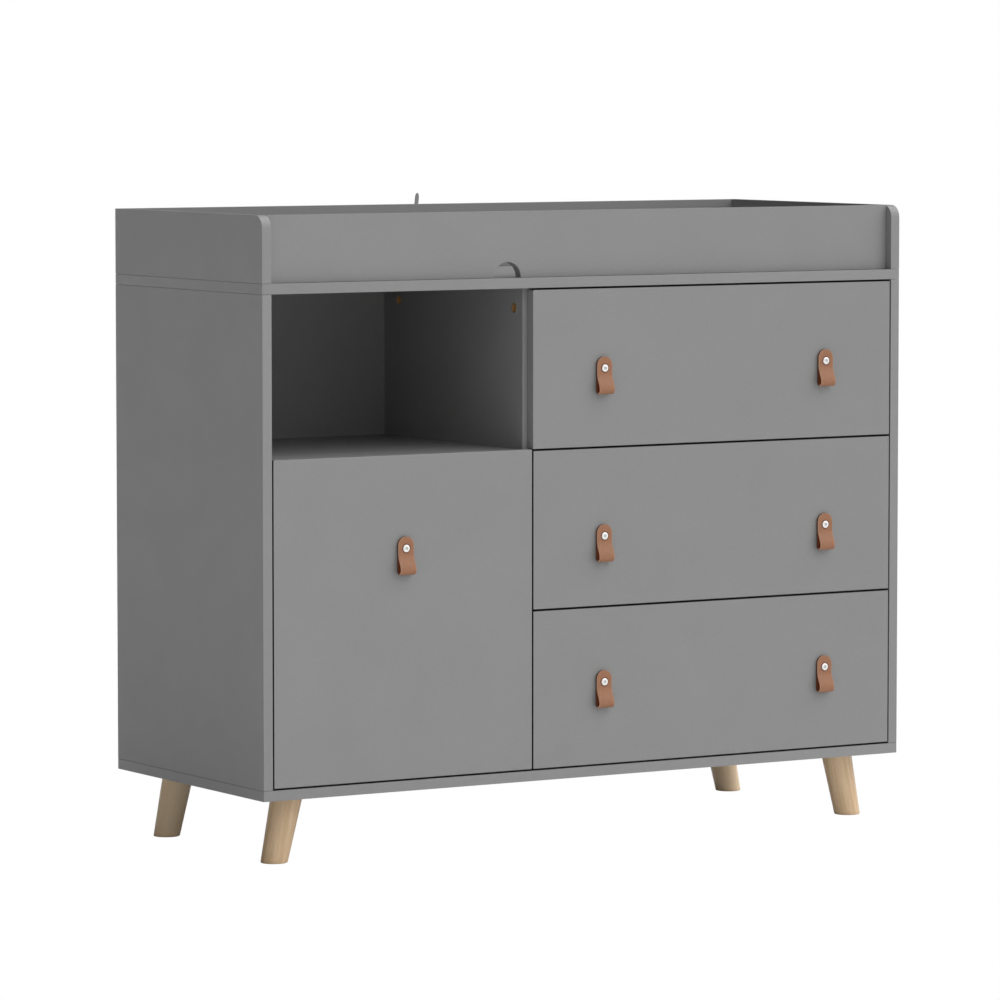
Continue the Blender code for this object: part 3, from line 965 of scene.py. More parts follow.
@dataclass(frozen=True)
class RiveterScrew:
    """The pulls' screw: a domed cap with a dimple, a shank and a flat nut inside the drawer.

    Attributes:
        rim: The height of the cap's upright edge.
        crown: From the cap's underside to its crown.
        cap_share: The cap's radius as a share of the solid's.
        dimple: The radius of the cap's dimple.
        dimple_depth: How deep the dimple is.
        lip_share: The radius where the crown ends, over the dimple's.
        shank: The shank's radius.
        nut: The nut's radius.
        nut_height: The nut's thickness.
        bevel: The bevel on the nut and the cap.
        nut_middle: The innermost ring's radius on the nut's end.
        cap_middle: The same in the dimple.
        crown_points: Points along the crown's curve.
        bowl_steps: Chords along the dimple's curve.
        sides: Points on a ring.
    """

    rim: float = 0.0005
    crown: float = 0.0013
    cap_share: float = 0.93
    dimple: float = 0.0027
    dimple_depth: float = 0.0005
    lip_share: float = 1.15
    shank: float = 0.0025
    nut: float = 0.0050
    nut_height: float = 0.0018
    bevel: float = 0.0003
    nut_middle: float = 0.0004
    cap_middle: float = 0.0001
    crown_points: int = 12
    bowl_steps: int = 8
    sides: int = 48

    def profile(self, cap: float, seat: float, top: float, inside: float) -> Array:
        """The screw's half section, from the nut's end to the cap's middle.

        The cap's crown is a quarter ellipse from the rim to the dimple's lip: radius falls as the
        cosine and height rises as the sine of the same angle. The dimple is half a cosine wave.

        Args:
            cap: The cap's radius.
            seat: The height of the cap's underside.
            top: The height of its crown.
            inside: The height of the front's inner face, where the nut sits.

        Returns:
            An (n, 2) array of radius and height.
        """
        end = inside - self.nut_height
        small = self.bevel / 2
        nut = [
            (self.nut_middle, end),
            (self.nut - self.bevel, end),
            (self.nut, end + self.bevel),
            (self.nut, inside - small),
            (self.nut - small, inside),
            (self.shank, inside),
            (self.shank, seat),
            (cap - small, seat),
            (cap, seat + small),
        ]
        lip = self.dimple * self.lip_share
        angle = np.linspace(0, math.pi / 2, self.crown_points)
        crown_low = seat + self.rim
        crown = np.stack(
            [
                lip + (cap - lip) * np.cos(angle),
                crown_low + (top - crown_low) * np.sin(angle),
            ],
            axis=1,
        )
        share = np.linspace(0, 1, self.bowl_steps + 1)[1:]
        bowl = np.stack(
            [
                lip + (self.cap_middle - lip) * share,
                top - self.dimple_depth * (1 - np.cos(math.pi * share)) / 2,
            ],
            axis=1,
        )
        return np.concatenate([np.array(nut), crown, bowl])

    def shell(self, cap: float, seat: float, top: float, inside: float) -> Shell:
        """The turned screw, marked in its dimple, where shade is painted darker.

        Args:
            cap: The cap's radius.
            seat: The height of the cap's underside.
            top: The height of its crown.
            inside: The height of the front's inner face, where the nut sits.

        Returns:
            The shell about the origin, facing +Z.
        """
        profile = self.profile(cap, seat, top, inside)
        shell = turned(profile, self.sides)
        # The dimple is marked for painted shade.
        bowl = (profile[:, 0] <= self.dimple) & (profile[:, 1] > seat)
        shell.marks["rim"] = np.repeat(bowl.astype(float), self.sides)
        return shell

    def build(self, bench: Bench, node: str, body: str, front: str, stack: float) -> None:
        """Makes the screw over its solid.

        Args:
            bench: Where pieces are made.
            node: The screw's solid.
            body: The drawer.
            front: The drawer front that the screw goes through.
            stack: From the front's face to the cap's underside.
        """
        low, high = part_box(node)
        face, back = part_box(front)[0].y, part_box(front)[1].y
        middle = (low + high) / 2
        cap = self.cap_share * (high.x - low.x) / 2
        shell = self.shell(cap, stack, stack + self.crown, face - back - SEAT_GAP)
        place = Vector((middle.x, face, middle.z))
        bench.piece(node + "_turned", laid(shell, TO_FRONT, place), Slot.NICKEL, body, node)


@dataclass(frozen=True)
class StrapPull:
    """A leather strap folded into a loop, both ends held by one screw.

    Attributes:
        leather: The strap's thickness.
        width_share: Its width as a share of the solid's, whose edges aren't eased.
        flat: How far below the screw the layers stay pressed together.
        ease: The radius of the strap's cut edges.
        press: How far the screw's cap sinks the outer layer.
        press_radius: How far out that hollow reaches.
        line_points: Points on each of the middle line's four stretches.
        length_steps: Sections along the strap between its round ends.
        end_steps: Sections in each round end.
        end_start: The first of those, as an angle of the end's half circle.
        across_steps: Points across each broad face.
        edge_steps: Chords in each rounded corner of a cut edge.
        layer_gap: How far apart the two layers lie in the leather's pattern.
    """

    leather: float = 0.0024
    width_share: float = 0.96
    flat: float = 0.0080
    ease: float = 0.00055
    press: float = 0.00030
    press_radius: float = 0.0085
    line_points: int = 200
    length_steps: int = 150
    end_steps: int = 14
    end_start: float = 0.06
    across_steps: int = 15
    edge_steps: int = 3
    layer_gap: float = 0.05

    def stack(self) -> float:
        """From the front's face to where the screw's cap sits in the outer layer."""
        return 2 * (self.leather + SEAT_GAP) - self.press

    def centre_line(self, top: float, drop: float, depth: float) -> Array:
        """The strap's middle line, as dense rows of (out from the front, up from the screw).

        The inner layer runs straight down, a half circle turns it, and the outer layer comes back
        in by the ease curve 3 s^2 - 2 s^3 before it runs straight up.

        Args:
            top: From the screw to the strap's ends.
            drop: From the screw to the loop's lowest point.
            depth: From the strap's back to the loop's outermost point.

        Returns:
            An (n, 2) array.
        """
        half = self.leather / 2
        radius = (depth - self.leather) / 2
        loop = -drop + half + radius
        pressed = half + self.leather + SEAT_GAP
        dense = np.linspace(0, 1, self.line_points)
        inner = np.stack([np.full_like(dense, half), top + (loop - top) * dense], axis=1)
        share = dense[1:]
        turn = math.pi * share
        bend = np.stack(
            [half + radius * (1 - np.cos(turn)), loop - radius * np.sin(turn)], axis=1
        )
        eased = share * share * (3 - 2 * share)
        outer = half + 2 * radius
        back_in = outer + (pressed - outer) * eased
        rise = np.stack([back_in, loop - (self.flat + loop) * share], axis=1)
        last = np.stack(
            [np.full_like(share, pressed), -self.flat + (top + self.flat) * share], axis=1
        )
        return np.concatenate([inner, bend, rise, last])

    def stations(self, total: float, half: float) -> Array:
        """Where along the strap its sections stand, closer together in the round ends.

        Args:
            total: The strap's length.
            half: Half its width, which is also the round ends' radius.

        Returns:
            An (n,) array of distances from the first end.
        """
        ends = half * (1 - np.cos(np.linspace(self.end_start, math.pi / 2, self.end_steps)))
        middle = np.linspace(half, total - half, self.length_steps)[1:-1]
        return np.concatenate([ends, middle, total - ends[::-1]])

    def section(self) -> tuple[Array, Array, Array]:
        """The loop of points round a section, in shares that each section scales.

        It runs along one broad face, round a cut edge, back along the other face and round the
        other edge.

        Returns:
            Three arrays: the place across the flat faces, the bulge of the cut edges beyond them,
            and the level, which is 1 on the first face and -1 on the second.
        """
        face = 2 * np.linspace(0, 1, self.across_steps) - 1
        quarter = np.linspace(0, math.pi / 2, self.edge_steps + 1)[1:-1]
        round_off = np.concatenate([quarter, [math.pi / 2], math.pi - quarter[::-1]])
        edge = np.ones_like(round_off)
        zero = np.zeros_like(face)
        fraction = np.concatenate([face, edge, -face, -edge])
        bulge = np.concatenate([zero, np.sin(round_off), zero, -np.sin(round_off)])
        level = np.concatenate([zero + 1, np.cos(round_off), zero - 1, -np.cos(round_off)])
        return fraction, bulge, level

    def shell(self, width: float, top: float, drop: float, depth: float) -> Shell:
        """The strap about its screw, with local +Z up and -Y out of the front.

        Sections stand square to the middle line. A section's half width follows a half circle near
        both ends, and the cap presses a hollow into the outer layer. The mark "strap" is the place
        across, the place up from the screw, and which layer it is.

        Args:
            width: The strap's width.
            top: From the screw to the strap's ends.
            drop: From the screw to the loop's lowest point.
            depth: From the strap's back to the loop's outermost point.

        Returns:
            The shell with its marks: rim, flesh, back and strap.
        """
        line = self.centre_line(top, drop, depth)
        run = np.concatenate([[0], np.cumsum(np.linalg.norm(np.diff(line, axis=0), axis=1))])
        total, half = run[-1], width / 2
        along = self.stations(total, half)
        out, up = (np.interp(along, run, line[:, axis]) for axis in (0, 1))
        nearby = 0.0002
        slope_out, slope_up = (
            np.interp(along + nearby, run, line[:, axis])
            - np.interp(along - nearby, run, line[:, axis])
            for axis in (0, 1)
        )
        size = np.hypot(slope_out, slope_up)
        facing_out, facing_up = -slope_up / size, slope_out / size
        tip = np.minimum(along, total - along)
        reach = np.sqrt(np.clip(half**2 - np.clip(half - tip, 0, None) ** 2, 0, None))
        ease = np.minimum(self.ease, reach)
        near_tip = np.clip(1 - tip / self.ease, 0, 1)
        thick = self.leather / 2 - self.ease * (1 - np.sqrt(1 - near_tip**2))
        fraction, bulge, level = self.section()
        across = fraction * (reach - ease)[:, None] + bulge * ease[:, None]
        height = np.sign(np.round(level, 6)) * (thick - ease)[:, None] + level * ease[:, None]
        away = out[:, None] + facing_out[:, None] * height
        rise = up[:, None] + facing_up[:, None] * height
        outer_layer = (along > total / 2)[:, None]
        apart = np.hypot(across, rise)
        hollow = self.press * np.exp(-((apart / self.press_radius) ** 4))
        away = away - np.where(outer_layer & (level < 0)[None], hollow, 0)
        points = np.stack([across, -away, rise], axis=-1)
        rings, around = across.shape
        flesh = np.broadcast_to(np.where(level > 0, 1.0, 0.0), across.shape)
        rim = np.broadcast_to(np.where(bulge != 0, 1.0, 0.0), across.shape)
        back = np.clip((total / 2 - along) / self.leather, 0, 1)[:, None] + 0 * across
        layer = np.where(outer_layer, 0.0, self.layer_gap) + 0 * across
        strap = np.stack([across, rise, layer], axis=-1)
        return Shell(
            points.reshape(-1, 3),
            band_quads(rings, around)[:, ::-1],
            [cap[::-1] for cap in end_caps(rings, around)],
            marks={
                "rim": rim.reshape(-1),
                "flesh": flesh.reshape(-1),
                "back": back.reshape(-1),
                "strap": strap.reshape(-1, 3),
            },
        )

    def build(self, bench: Bench, node: str, screw: str, body: str) -> None:
        """Makes the strap over its solid.

        Args:
            bench: Where pieces are made.
            node: The strap's solid.
            screw: The screw's solid, whose middle gives the hole.
            body: The drawer.
        """
        low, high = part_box(node)
        held = sum(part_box(screw), Vector()) / 2
        width = self.width_share * (high.x - low.x)
        shell = self.shell(width, high.z - held.z, held.z - low.z, high.y - low.y)
        shell.points += np.array([held.x, high.y, held.z])
        bench.piece(node + "_strap", shell, Slot.LEATHER, body, node)


@dataclass(frozen=True)
class RunnerPair:
    """The rails of one drawer: a C-shaped rail on each wall, and a narrower one on each box side.

    Attributes:
        steel: The sheet's thickness.
        lip: The depth of the cabinet rail's turned-in lips.
        inner_half: Half the height of the drawer's rail.
        inner_reach: How near the drawer's rail comes to the wall.
        inner_setback: How far the drawer's rail starts behind the box's front end.
        bend: The radius of the section's corners.
        bend_steps: Chords in each of them.
        ease: The radius of the rails' cut ends.
        screws: Where the cabinet rail's screws stand, as shares of its length.
        head: A screw's head.
    """

    steel: float = 0.0012
    lip: float = 0.0035
    inner_half: float = 0.0120
    inner_reach: float = 0.0042
    inner_setback: float = 0.004
    bend: float = 0.0004
    bend_steps: int = 3
    ease: float = 0.0002
    screws: tuple[float, ...] = (0.07, 0.45, 0.90)
    head: CrossHead = CrossHead(
        radius=0.0036,
        height=0.0019,
        dome=0.0007,
        arm=0.0020,
        slot=0.0004,
        recess=0.0009,
        sides=40,
    )

    def channel(self, foot: float, mouth: float, middle: float, half: float, lip: float) -> Array:
        """A C-shaped section in Z and X, open towards its mouth.

        Args:
            foot: X of the web's outer face.
            mouth: X of the channel's open side.
            middle: Z of its middle.
            half: Half its height.
            lip: How far the lips turn in, or 0 for plain arms.

        Returns:
            The section as an anticlockwise outline of (z, x).
        """
        way = math.copysign(1, mouth - foot)
        web, inner = foot + way * self.steel, half - self.steel
        if lip:
            neck = mouth - way * self.steel
            side = [(half, foot), (half, mouth), (half - lip, mouth)]
            side += [(half - lip, neck), (inner, neck), (inner, web)]
        else:
            side = [(half, foot), (half, mouth), (inner, mouth), (inner, web)]
        points = side + [(-z, x) for z, x in reversed(side)]
        placed = [(middle + z, x) for z, x in points]
        area = sum(a[0] * b[1] - b[0] * a[1] for a, b in zip(placed, placed[1:] + placed[:1]))
        return filleted(placed if area > 0 else placed[::-1], self.bend, self.bend_steps)

    def build(self, bench: Bench, drawer: str) -> None:
        """Makes the drawer's four rails and the cabinet rails' screws.

        Args:
            bench: Where pieces are made.
            drawer: The drawer's name.
        """
        for side, way in (("left", 1), ("right", -1)):
            node = f"{drawer}_runner_{side}"
            low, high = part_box(node)
            wall, mouth = (low.x, high.x) if way > 0 else (high.x, low.x)
            middle, half = (low.z + high.z) / 2, (high.z - low.z) / 2
            outline = self.channel(wall, mouth, middle, half, self.lip)
            shell = slab(outline, low.y, high.y, self.ease, Facing.FORWARD)
            bench.piece(node + "_channel", shell, Slot.STEEL, "cabinet", node)
            web = wall + way * self.steel
            run = high.y - low.y
            axes = TO_RIGHT if way > 0 else TO_LEFT
            heads = [
                laid(self.head.shell(), axes, Vector((web, low.y + run * share, middle)))
                for share in self.screws
            ]
            bench.piece(node + "_screws", merged(heads), Slot.STEEL, "cabinet")
            box_low, box_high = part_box(f"{drawer}_side_{side}")
            foot = (box_low.x if way > 0 else box_high.x) - way * SEAT_GAP
            mouth = wall + way * self.inner_reach
            outline = self.channel(foot, mouth, middle, self.inner_half, 0)
            start = box_low.y + self.inner_setback
            shell = slab(outline, start, box_high.y, self.ease, Facing.FORWARD)
            bench.piece(f"{drawer}_rail_{side}", shell, Slot.STEEL, drawer)


# Sub-assemblies ----------------------------------------------------------------------------------


@dataclass(frozen=True)
class Carcass:
    """The cabinet's own boards, with the cam locks that hold its top.

    Attributes:
        ease: The radius of the boards' edges.
        weld: Points of the divider nearer than this become one.
        bevel: The bevel round the divider's edges and bores.
        bevel_steps: Faces across that bevel.
        bevel_above: Edges that turn by more than this are bevelled.
        proud: How far the left panel's cam locks stand out of it.
        cam: The visible face of a cam lock.
    """

    ease: float = 0.0003
    weld: float = 0.00001
    bevel: float = 0.0003
    bevel_steps: int = 2
    bevel_above: float = math.radians(50)
    proud: float = 0.0002
    cam: CrossHead = CrossHead(
        radius=0.0070, height=0.0030, dome=0.0001, arm=0.0042, slot=0.0008, recess=0.0016
    )

    def build(self, bench: Bench) -> None:
        """Makes the boards, dresses the divider, and fits the cam locks.

        Args:
            bench: Where pieces are made.
        """
        boards = ["base_panel", "top_panel", "side_panel_left", "side_panel_right", "back_panel"]
        bench.boards(boards + ["cubby_shelf"], Slot.PAINT, "cabinet", self.ease)
        self.dress_divider(bench)
        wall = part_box("side_panel_left")[1].x
        for row in ("front", "rear"):
            node = "cam_lock_" + row
            low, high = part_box(node)
            middle = (low + high) / 2
            face = Vector((low.x + self.cam.height, middle.y, middle.z))
            shell = laid(self.cam.shell(), TO_LEFT, face)
            bench.piece(node + "_face", shell, Slot.BRONZE, "cabinet", node)
            seat = Vector((wall + self.proud - self.cam.height, middle.y, middle.z))
            shell = laid(self.cam.shell(), TO_RIGHT, seat)
            bench.piece(f"cam_lock_{row}_left_panel", shell, Slot.BRONZE, "cabinet")

    def dress_divider(self, bench: Bench) -> None:
        """Keeps the divider's solid, whose cam bores are real, and bevels and paints it."""
        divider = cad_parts["centre_divider"]
        weld = divider.modifiers.new("weld", "WELD")
        weld.merge_threshold = self.weld
        bevel = divider.modifiers.new("ease", "BEVEL")
        bevel.width = self.bevel
        bevel.segments = self.bevel_steps
        bevel.limit_method = "ANGLE"
        bevel.angle_limit = self.bevel_above
        bevel.harden_normals = True
        divider.data.materials.clear()
        divider.data.materials.append(bench.materials[Slot.PAINT])


@dataclass(frozen=True)
class ChangingTray:
    """The four boards round the changing surface.

    Attributes:
        ease: The radius of the boards' edges.
        corner: The radius of the side boards' upper front corners.
        notch_x: The middle of the notch in the front board.
        notch_radius: The notch's radius.
        notch_foot: The straight foot of the notch's sides, over its corners' radius.
        side_steps: Chords in each corner of a side board.
        front_steps: Chords in each corner of the front board.
    """

    ease: float = 0.0003
    corner: float = 0.019
    notch_x: float = -0.1364
    notch_radius: float = 0.0227
    notch_foot: float = 1.2
    side_steps: int = 12
    front_steps: int = 14

    def side(self, low: Vector, high: Vector) -> Shell:
        """A side board, with one large corner at its upper front."""
        corners = rectangle((low.y, low.z), (high.y, high.z))
        radii = [self.ease * CORNER_SHARE] * 3 + [self.corner]
        outline = filleted(corners, radii, self.side_steps)
        return slab(outline, low.x, high.x, self.ease, Facing.SIDEWAYS)

    def front(self, low: Vector, high: Vector) -> Shell:
        """The front board, whose notch is a rectangle with its upper corners rounded together."""
        left, right = self.notch_x - self.notch_radius, self.notch_x + self.notch_radius
        crown = low.z + self.notch_radius
        corners = [
            (low.z, left),
            (low.z, low.x),
            (high.z, low.x),
            (high.z, high.x),
            (low.z, high.x),
            (low.z, right),
            (crown, right),
            (crown, left),
        ]
        foot = self.ease * CORNER_SHARE
        arch = self.notch_radius - self.notch_foot * foot
        radii = [foot] * 6 + [arch, arch]
        outline = filleted(corners, radii, self.front_steps)
        return slab(outline, low.y, high.y, self.ease, Facing.FORWARD)

    def build(self, bench: Bench) -> None:
        """Makes the tray's four boards.

        Args:
            bench: Where pieces are made.
        """
        for node in ("tray_side_left", "tray_side_right"):
            bench.piece(node + "_board", self.side(*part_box(node)), Slot.PAINT, "cabinet", node)
        node = "tray_front_board"
        bench.piece(node + "_cut", self.front(*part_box(node)), Slot.PAINT, "cabinet", node)
        bench.boards(["tray_back_board"], Slot.PAINT, "cabinet", self.ease)


@dataclass(frozen=True)
class SplayedLeg:
    """A turned, tapered leg that leans outwards and is cut level at both ends.

    Attributes:
        splay: How far it leans, as an angle.
        top: Its radius at the top.
        foot: Its radius at the floor.
        ease: The radius of its lower edge.
        rear_painted_fill: How far the rear legs lean to the paler colour, from 0 to 1: painted
            light against the cabinet's shade.
        grain_step: How far each leg's grain is moved from the last one's.
        end_share: The innermost ring's radius on an end, over the end's.
        ease_points: Rings in each eased end.
        shaft_rings: Rings along the shaft, with both of its ends.
        sides: Points on a ring.
    """

    splay: float = math.radians(12.5)
    top: float = 0.0228
    foot: float = 0.0192
    ease: float = 0.0014
    rear_painted_fill: float = 0.75
    grain_step: float = 0.37
    end_share: float = 0.5
    ease_points: int = 6
    shaft_rings: int = 30
    sides: int = 72

    def shell(self, height: float, way: float, seed: float, painted_fill: float) -> Shell:
        """The leg with its upper end's middle at the origin.

        A ring at height z has its middle at -z * tan(splay) outwards, and is an ellipse: its
        radius divided by cos(splay) sideways. The radius grows evenly from foot to top, less a
        quarter round at both ends.

        Args:
            height: From the floor to the leg's upper end.
            way: 1 to lean to +X and -1 to lean to -X.
            seed: Moves the grain, so that no two legs look alike.
            painted_fill: How far this leg leans to the paler colour, from 0 to 1, painted light
                against shade.

        Returns:
            The shell, with its own grain coordinates.
        """
        turn = np.linspace(0, math.pi / 2, self.ease_points)
        low = self.ease * (1 - np.cos(turn))
        shaft = np.linspace(self.ease, height - self.ease, self.shaft_rings)[1:-1]
        rise = np.concatenate([low, shaft, height - low[::-1]])
        short = 1 - np.sin(turn)
        drawn = np.concatenate([short, np.zeros_like(shaft), short[::-1]]) * self.ease
        radius = self.foot + (self.top - self.foot) * rise / height - drawn
        ends = radius[[0, -1]] * self.end_share
        radius = np.concatenate([ends[:1], radius, ends[1:]])
        rise = np.concatenate([[0], rise, [height]])
        angle = np.linspace(0, math.tau, self.sides, endpoint=False)
        below = (rise - height)[:, None]
        lean = math.tan(self.splay)
        x = way * (radius[:, None] * np.cos(angle) / math.cos(self.splay) - below * lean)
        y = radius[:, None] * np.sin(angle) * way
        points = np.stack([x, y, below + 0 * angle], axis=-1).reshape(-1, 3)
        axis_x = points[:, 0] + way * points[:, 2] * lean
        grain = np.stack([axis_x + seed, points[:, 1] - seed, points[:, 2] + seed], axis=1)
        end = np.broadcast_to(
            ((rise < self.ease) | (rise > height - self.ease))[:, None], (len(rise), self.sides)
        )
        return Shell(
            points,
            band_quads(len(rise), self.sides),
            end_caps(len(rise), self.sides),
            marks={
                "grain": grain,
                "rim": end.astype(float).reshape(-1),
                "painted_fill": np.full(len(points), painted_fill),
            },
        )

    def build(self, bench: Bench) -> None:
        """Makes the four legs over their solids.

        Args:
            bench: Where pieces are made.
        """
        reach = self.foot / math.cos(self.splay)
        for number, (row, side) in enumerate(product(("front", "rear"), ("left", "right"))):
            node = f"leg_{row}_{side}"
            low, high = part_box(node)
            way = 1.0 if side == "right" else -1.0
            height = high.z - low.z
            outermost = high.x if way > 0 else low.x
            x = outermost - way * (reach + height * math.tan(self.splay))
            x += way * SEAT_GAP
            # Painted light: the rear legs, in the cabinet's shade, are made paler.
            painted_fill = self.rear_painted_fill if row == "rear" else 0.0
            shell = self.shell(height, way, self.grain_step * (number + 1), painted_fill)
            shell.points += np.array([x, (low.y + high.y) / 2, high.z])
            bench.piece(node + "_turned", shell, Slot.BEECH, "cabinet", node)


@dataclass(frozen=True)
class AntiTipStrap:
    """The nylon strap behind the tray, and the screw in its eye.

    Attributes:
        width: The strap's width.
        point: The length of its tapered tip.
        eye: The radius of its screw eye.
        lean: How far it leans to the right.
        rise: From the screw to the strap's upper end.
        ease: The radius of its edges.
        eye_points: Points on the eye's outline.
        tip_points: Points on the tip's.
        screw: The countersunk screw's head.
    """

    width: float = 0.0064
    point: float = 0.0075
    eye: float = 0.0090
    lean: float = math.radians(6.0)
    rise: float = 0.0307
    ease: float = 0.0006
    eye_points: int = 40
    tip_points: int = 20
    screw: CrossHead = CrossHead(
        radius=0.0060, height=0.0016, dome=0.0006, arm=0.0026, slot=0.0006, recess=0.0011
    )

    def build(self, bench: Bench) -> None:
        """Makes the strap over its solid, and its screw.

        Args:
            bench: Where pieces are made.
        """
        low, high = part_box("anti_tip_strap")
        reach = self.rise / math.cos(self.lean)
        half = self.width / 2
        neck = math.asin(half / self.eye)
        angle = np.linspace(math.pi / 2 + neck, 2.5 * math.pi - neck, self.eye_points)
        eye = self.eye * np.stack([np.sin(angle), np.cos(angle)], axis=1)
        angle = np.linspace(0, math.pi, self.tip_points)
        tip = reach - self.point + self.point * np.sin(angle)
        end = np.stack([tip, half * np.cos(angle)], axis=1)
        outline = np.concatenate([eye, end])
        cosine, sine = math.cos(self.lean), math.sin(self.lean)
        outline = outline @ np.array([[cosine, sine], [-sine, cosine]])
        middle = low.z + self.eye
        centre = low.x + self.eye
        outline += np.array([middle, centre])
        face = high.y - self.screw.dome
        shell = slab(outline[::-1], low.y, face, self.ease, Facing.FORWARD)
        bench.piece("anti_tip_strap_moulded", shell, Slot.NYLON, "cabinet", "anti_tip_strap")
        place = Vector((centre, high.y - self.screw.height, middle))
        head = laid(self.screw.shell(), TO_BACK, place)
        bench.piece("anti_tip_strap_screw", head, Slot.STEEL, "cabinet")


@dataclass(frozen=True)
class DrawerUnit:
    """One drawer: its painted front, its foil-covered box, its pulls, screws and rails.

    Attributes:
        name: The drawer's name, which is also its body's.
        pulls: The suffixes of its pulls.
        gap_shaded: The sides of its front whose outer edge is painted dark as the shade in the gap
            next to it.
        front_ease: The radius of the front's edges.
        box_ease: The radius of the box boards' edges.
        groove_depth: Of the groove for the floor.
        side_steps: Chords in each corner of a side's section.
    """

    name: str
    pulls: tuple[str, ...]
    gap_shaded: tuple[Side, ...]
    front_ease: float = 0.0009
    box_ease: float = 0.0005
    groove_depth: float = 0.006
    side_steps: int = 3

    def front(self, low: Vector, high: Vector) -> Shell:
        """The front, whose edges that face a gap are marked on their outer half for painted shade.

        Args:
            low: The solid's lowest corner.
            high: Its highest corner.

        Returns:
            The shell.
        """
        shell = board(low, high, self.front_ease)
        x, y, z = shell.points.T
        reach = self.front_ease * CORNER_SHARE
        near = {
            Side.TOP: z > high.z - reach,
            Side.BOTTOM: z < low.z + reach,
            Side.LEFT: x < low.x + reach,
            Side.RIGHT: x > high.x - reach,
        }
        # Painted shade: the outer half of each edge that faces a gap is marked to be darkened.
        facing_gap = np.any([near[side] for side in self.gap_shaded], axis=0)
        outer = y < (low.y + high.y) / 2
        shell.marks["gap_shaded"] = shell.marks["rim"] * (facing_gap & outer)
        return shell

    def side(self, low: Vector, high: Vector, way: float) -> Shell:
        """A box side whose inner face has a groove for the floor.

        Args:
            low: The solid's lowest corner.
            high: Its highest corner.
            way: 1 where the inner face looks to +X, and -1 where it looks to -X.

        Returns:
            The shell.
        """
        floor_low, floor_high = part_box(self.name + "_floor")
        outer, inner = (low.x, high.x) if way > 0 else (high.x, low.x)
        groove = inner - way * self.groove_depth
        bottom, top = floor_low.z - SEAT_GAP, floor_high.z + SEAT_GAP
        corners = [
            (low.z, outer),
            (low.z, inner),
            (bottom, inner),
            (bottom, groove),
            (top, groove),
            (top, inner),
            (high.z, inner),
            (high.z, outer),
        ]
        if way > 0:
            corners = corners[::-1]
        outline = filleted(corners, self.box_ease * CORNER_SHARE, self.side_steps)
        return slab(outline, low.y, high.y, self.box_ease, Facing.FORWARD)

    def build(self, bench: Bench) -> None:
        """Makes every piece of the drawer.

        Args:
            bench: Where pieces are made.
        """
        front = self.front(*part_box(self.name + "_front"))
        bench.piece(self.name + "_front_board", front, Slot.PAINT, self.name, self.name + "_front")
        box = [self.name + "_floor", self.name + "_back"]
        bench.boards(box, Slot.FOIL, self.name, self.box_ease)
        for side, way in (("left", 1.0), ("right", -1.0)):
            node = f"{self.name}_side_{side}"
            shell = self.side(*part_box(node), way)
            bench.piece(node + "_grooved", shell, Slot.FOIL, self.name, node)
        for suffix in self.pulls:
            pull, screw = f"{self.name}_pull{suffix}", f"{self.name}_pull_screw{suffix}"
            strap = StrapPull()
            strap.build(bench, pull, screw, self.name)
            RiveterScrew().build(bench, screw, self.name, self.name + "_front", strap.stack())
        RunnerPair().build(bench, self.name)


# Studio ------------------------------------------------------------------------------------------


@dataclass(frozen=True)
class Softbox:
    """A broad soft light, as a bright patch of the surroundings.

    Attributes:
        turn: How far it stands to the right of the front.
        rise: How far it stands above the horizon.
        power: Its strength in the middle.
        focus: How tight it is.
    """

    turn: float
    rise: float
    power: float
    focus: float = 8.0

    def towards(self) -> tuple[float, float, float]:
        """The unit vector towards its middle."""
        level = math.cos(self.rise)
        return (math.sin(self.turn) * level, -math.cos(self.turn) * level, math.sin(self.rise))


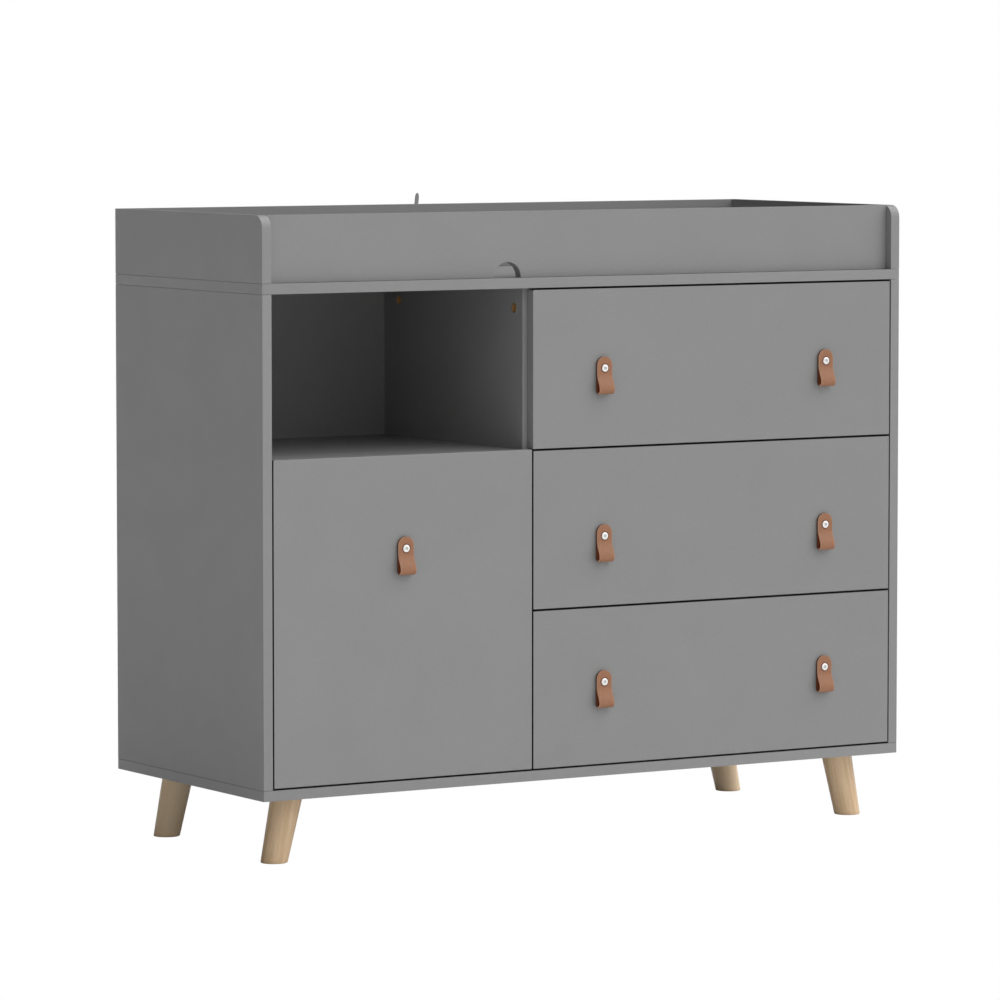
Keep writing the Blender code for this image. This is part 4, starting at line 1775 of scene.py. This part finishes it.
@dataclass(frozen=True)
class Studio:
    """A plain white floor, five soft lights round the front, and a camera.

    Attributes:
        camera_place: Where the camera stands.
        camera_turn: How far it looks to the right of straight ahead.
        camera_dip: How far it looks down.
        lens: Its focal length in millimetres.
        sensor: The width of its sensor in millimetres.
        view_end: How far it sees.
        boxes: The softboxes.
        floor_half: Half the floor's width.
        floor_tone: How much light the floor gives back to the furniture.
        floor_cloud: How much that tone rises and falls.
    """

    camera_place: Vector = Vector((-4.38421, -7.11548, 1.14495))
    camera_turn: float = math.radians(31.500)
    camera_dip: float = math.radians(4.4804)
    lens: float = 201.576
    sensor: float = 36.0
    view_end: float = 1000.0
    boxes: tuple[Softbox, ...] = (
        Softbox(math.radians(15), math.radians(45), 2.02),
        Softbox(math.radians(50), math.radians(0), 1.06),
        Softbox(math.radians(90), math.radians(45), 3.24),
        Softbox(math.radians(-50), math.radians(10), 0.60),
        Softbox(math.radians(0), math.radians(85), 0.92),
    )
    floor_half: float = 300.0
    floor_tone: float = 0.88
    floor_cloud: float = 0.01

    def build(self) -> None:
        """Makes the floor, the light and the camera."""
        self.lay_floor()
        self.light()
        self.set_camera()
        bpy.context.scene.view_settings.view_transform = "Standard"

    def lay_floor(self) -> None:
        """A wide floor, lit evenly for the lens and a pale, faintly cloudy tone for other rays."""
        half = self.floor_half
        mesh = bpy.data.meshes.new("studio_floor")
        corners = [(x, y, 0.0) for x, y in rectangle((-half, -half), (half, half))]
        mesh.from_pydata(corners, [], [(0, 1, 2, 3)])
        graph = Graph.material("studio_floor")
        cloud = graph.noise(graph.object_space(), 0.8, 3.0, 0.5)
        pale = (self.floor_tone,) * 3
        shade = graph.mix(
            cloud, tone(pale, 1.0 - self.floor_cloud), tone(pale, 1.0 + self.floor_cloud)
        )
        seen = graph.add("LightPath").outputs["Is Camera Ray"]
        mesh.materials.append(
            graph.finish(
                base_color=graph.mix(seen, shade, (0, 0, 0, 1)),
                roughness=0.9,
                specular_ior_level=0.0,
                emission_color=(1, 1, 1, 1),
                emission_strength=seen,
            )
        )
        floor = bpy.data.objects.new("studio_floor", mesh)
        bpy.context.scene.collection.objects.link(floor)

    def light(self) -> None:
        """Light from the softboxes.

        Its strength towards a direction is the sum, over the softboxes, of the softbox's power
        times max(0, cosine of the angle between that direction and the softbox's) ^ focus. The
        lens itself sees plain white.
        """
        world = bpy.data.worlds.new("studio")
        bpy.context.scene.world = world
        graph = Graph(world)
        way = graph.add("TexCoord").outputs["Generated"]
        unit = graph.add("VectorMath", {0: way}, operation="NORMALIZE").outputs["Vector"]
        power: object = 0.0
        for box in self.boxes:
            cosine = graph.add("VectorMath", {0: unit, 1: box.towards()}, operation="DOT_PRODUCT")
            ahead = graph.combine(cosine.outputs["Value"], 0.0, "MAXIMUM")
            lobe = graph.combine(graph.combine(ahead, box.focus, "POWER"), box.power, "MULTIPLY")
            power = graph.combine(lobe, power)
        seen = graph.add("LightPath").outputs["Is Camera Ray"]
        strength = graph.add("Mix", data_type="FLOAT")
        graph.feed(strength.inputs[0], seen)
        graph.feed(strength.inputs[2], power)
        graph.feed(strength.inputs[3], 1.0)
        background = world.node_tree.nodes["Background"]
        background.inputs["Color"].default_value = (1, 1, 1, 1)
        graph.feed(background.inputs["Strength"], strength.outputs[0])

    def set_camera(self) -> None:
        """A long lens that looks slightly down on the left front corner."""
        data = bpy.data.cameras.new("camera")
        data.lens = self.lens
        data.sensor_width = self.sensor
        data.clip_end = self.view_end
        camera = bpy.data.objects.new("camera", data)
        camera.location = self.camera_place
        camera.rotation_euler = (math.pi / 2 - self.camera_dip, 0.0, -self.camera_turn)
        bpy.context.scene.collection.objects.link(camera)
        bpy.context.scene.camera = camera


def main() -> None:
    """Builds the studio, then each sub-assembly in turn."""
    logging.basicConfig(level=logging.INFO, format="%(name)s %(message)s")
    Studio().build()
    bench = Bench({slot: finish.build() for slot, finish in FINISHES.items()})
    Carcass().build(bench)
    ChangingTray().build(bench)
    SplayedLeg().build(bench)
    AntiTipStrap().build(bench)
    pair = ("_left", "_right")
    # Each drawer lists the sides of its front whose gap edges get painted shade.
    DrawerUnit("top_drawer", pair, (Side.TOP, Side.RIGHT)).build(bench)
    DrawerUnit("middle_drawer", pair, (Side.TOP, Side.LEFT, Side.RIGHT)).build(bench)
    DrawerUnit("bottom_drawer", pair, tuple(Side)).build(bench)
    DrawerUnit("deep_drawer", ("",), (Side.BOTTOM, Side.LEFT)).build(bench)
    LOG.info("%d pieces made", bench.count)


if __name__ == "__main__":
    main()
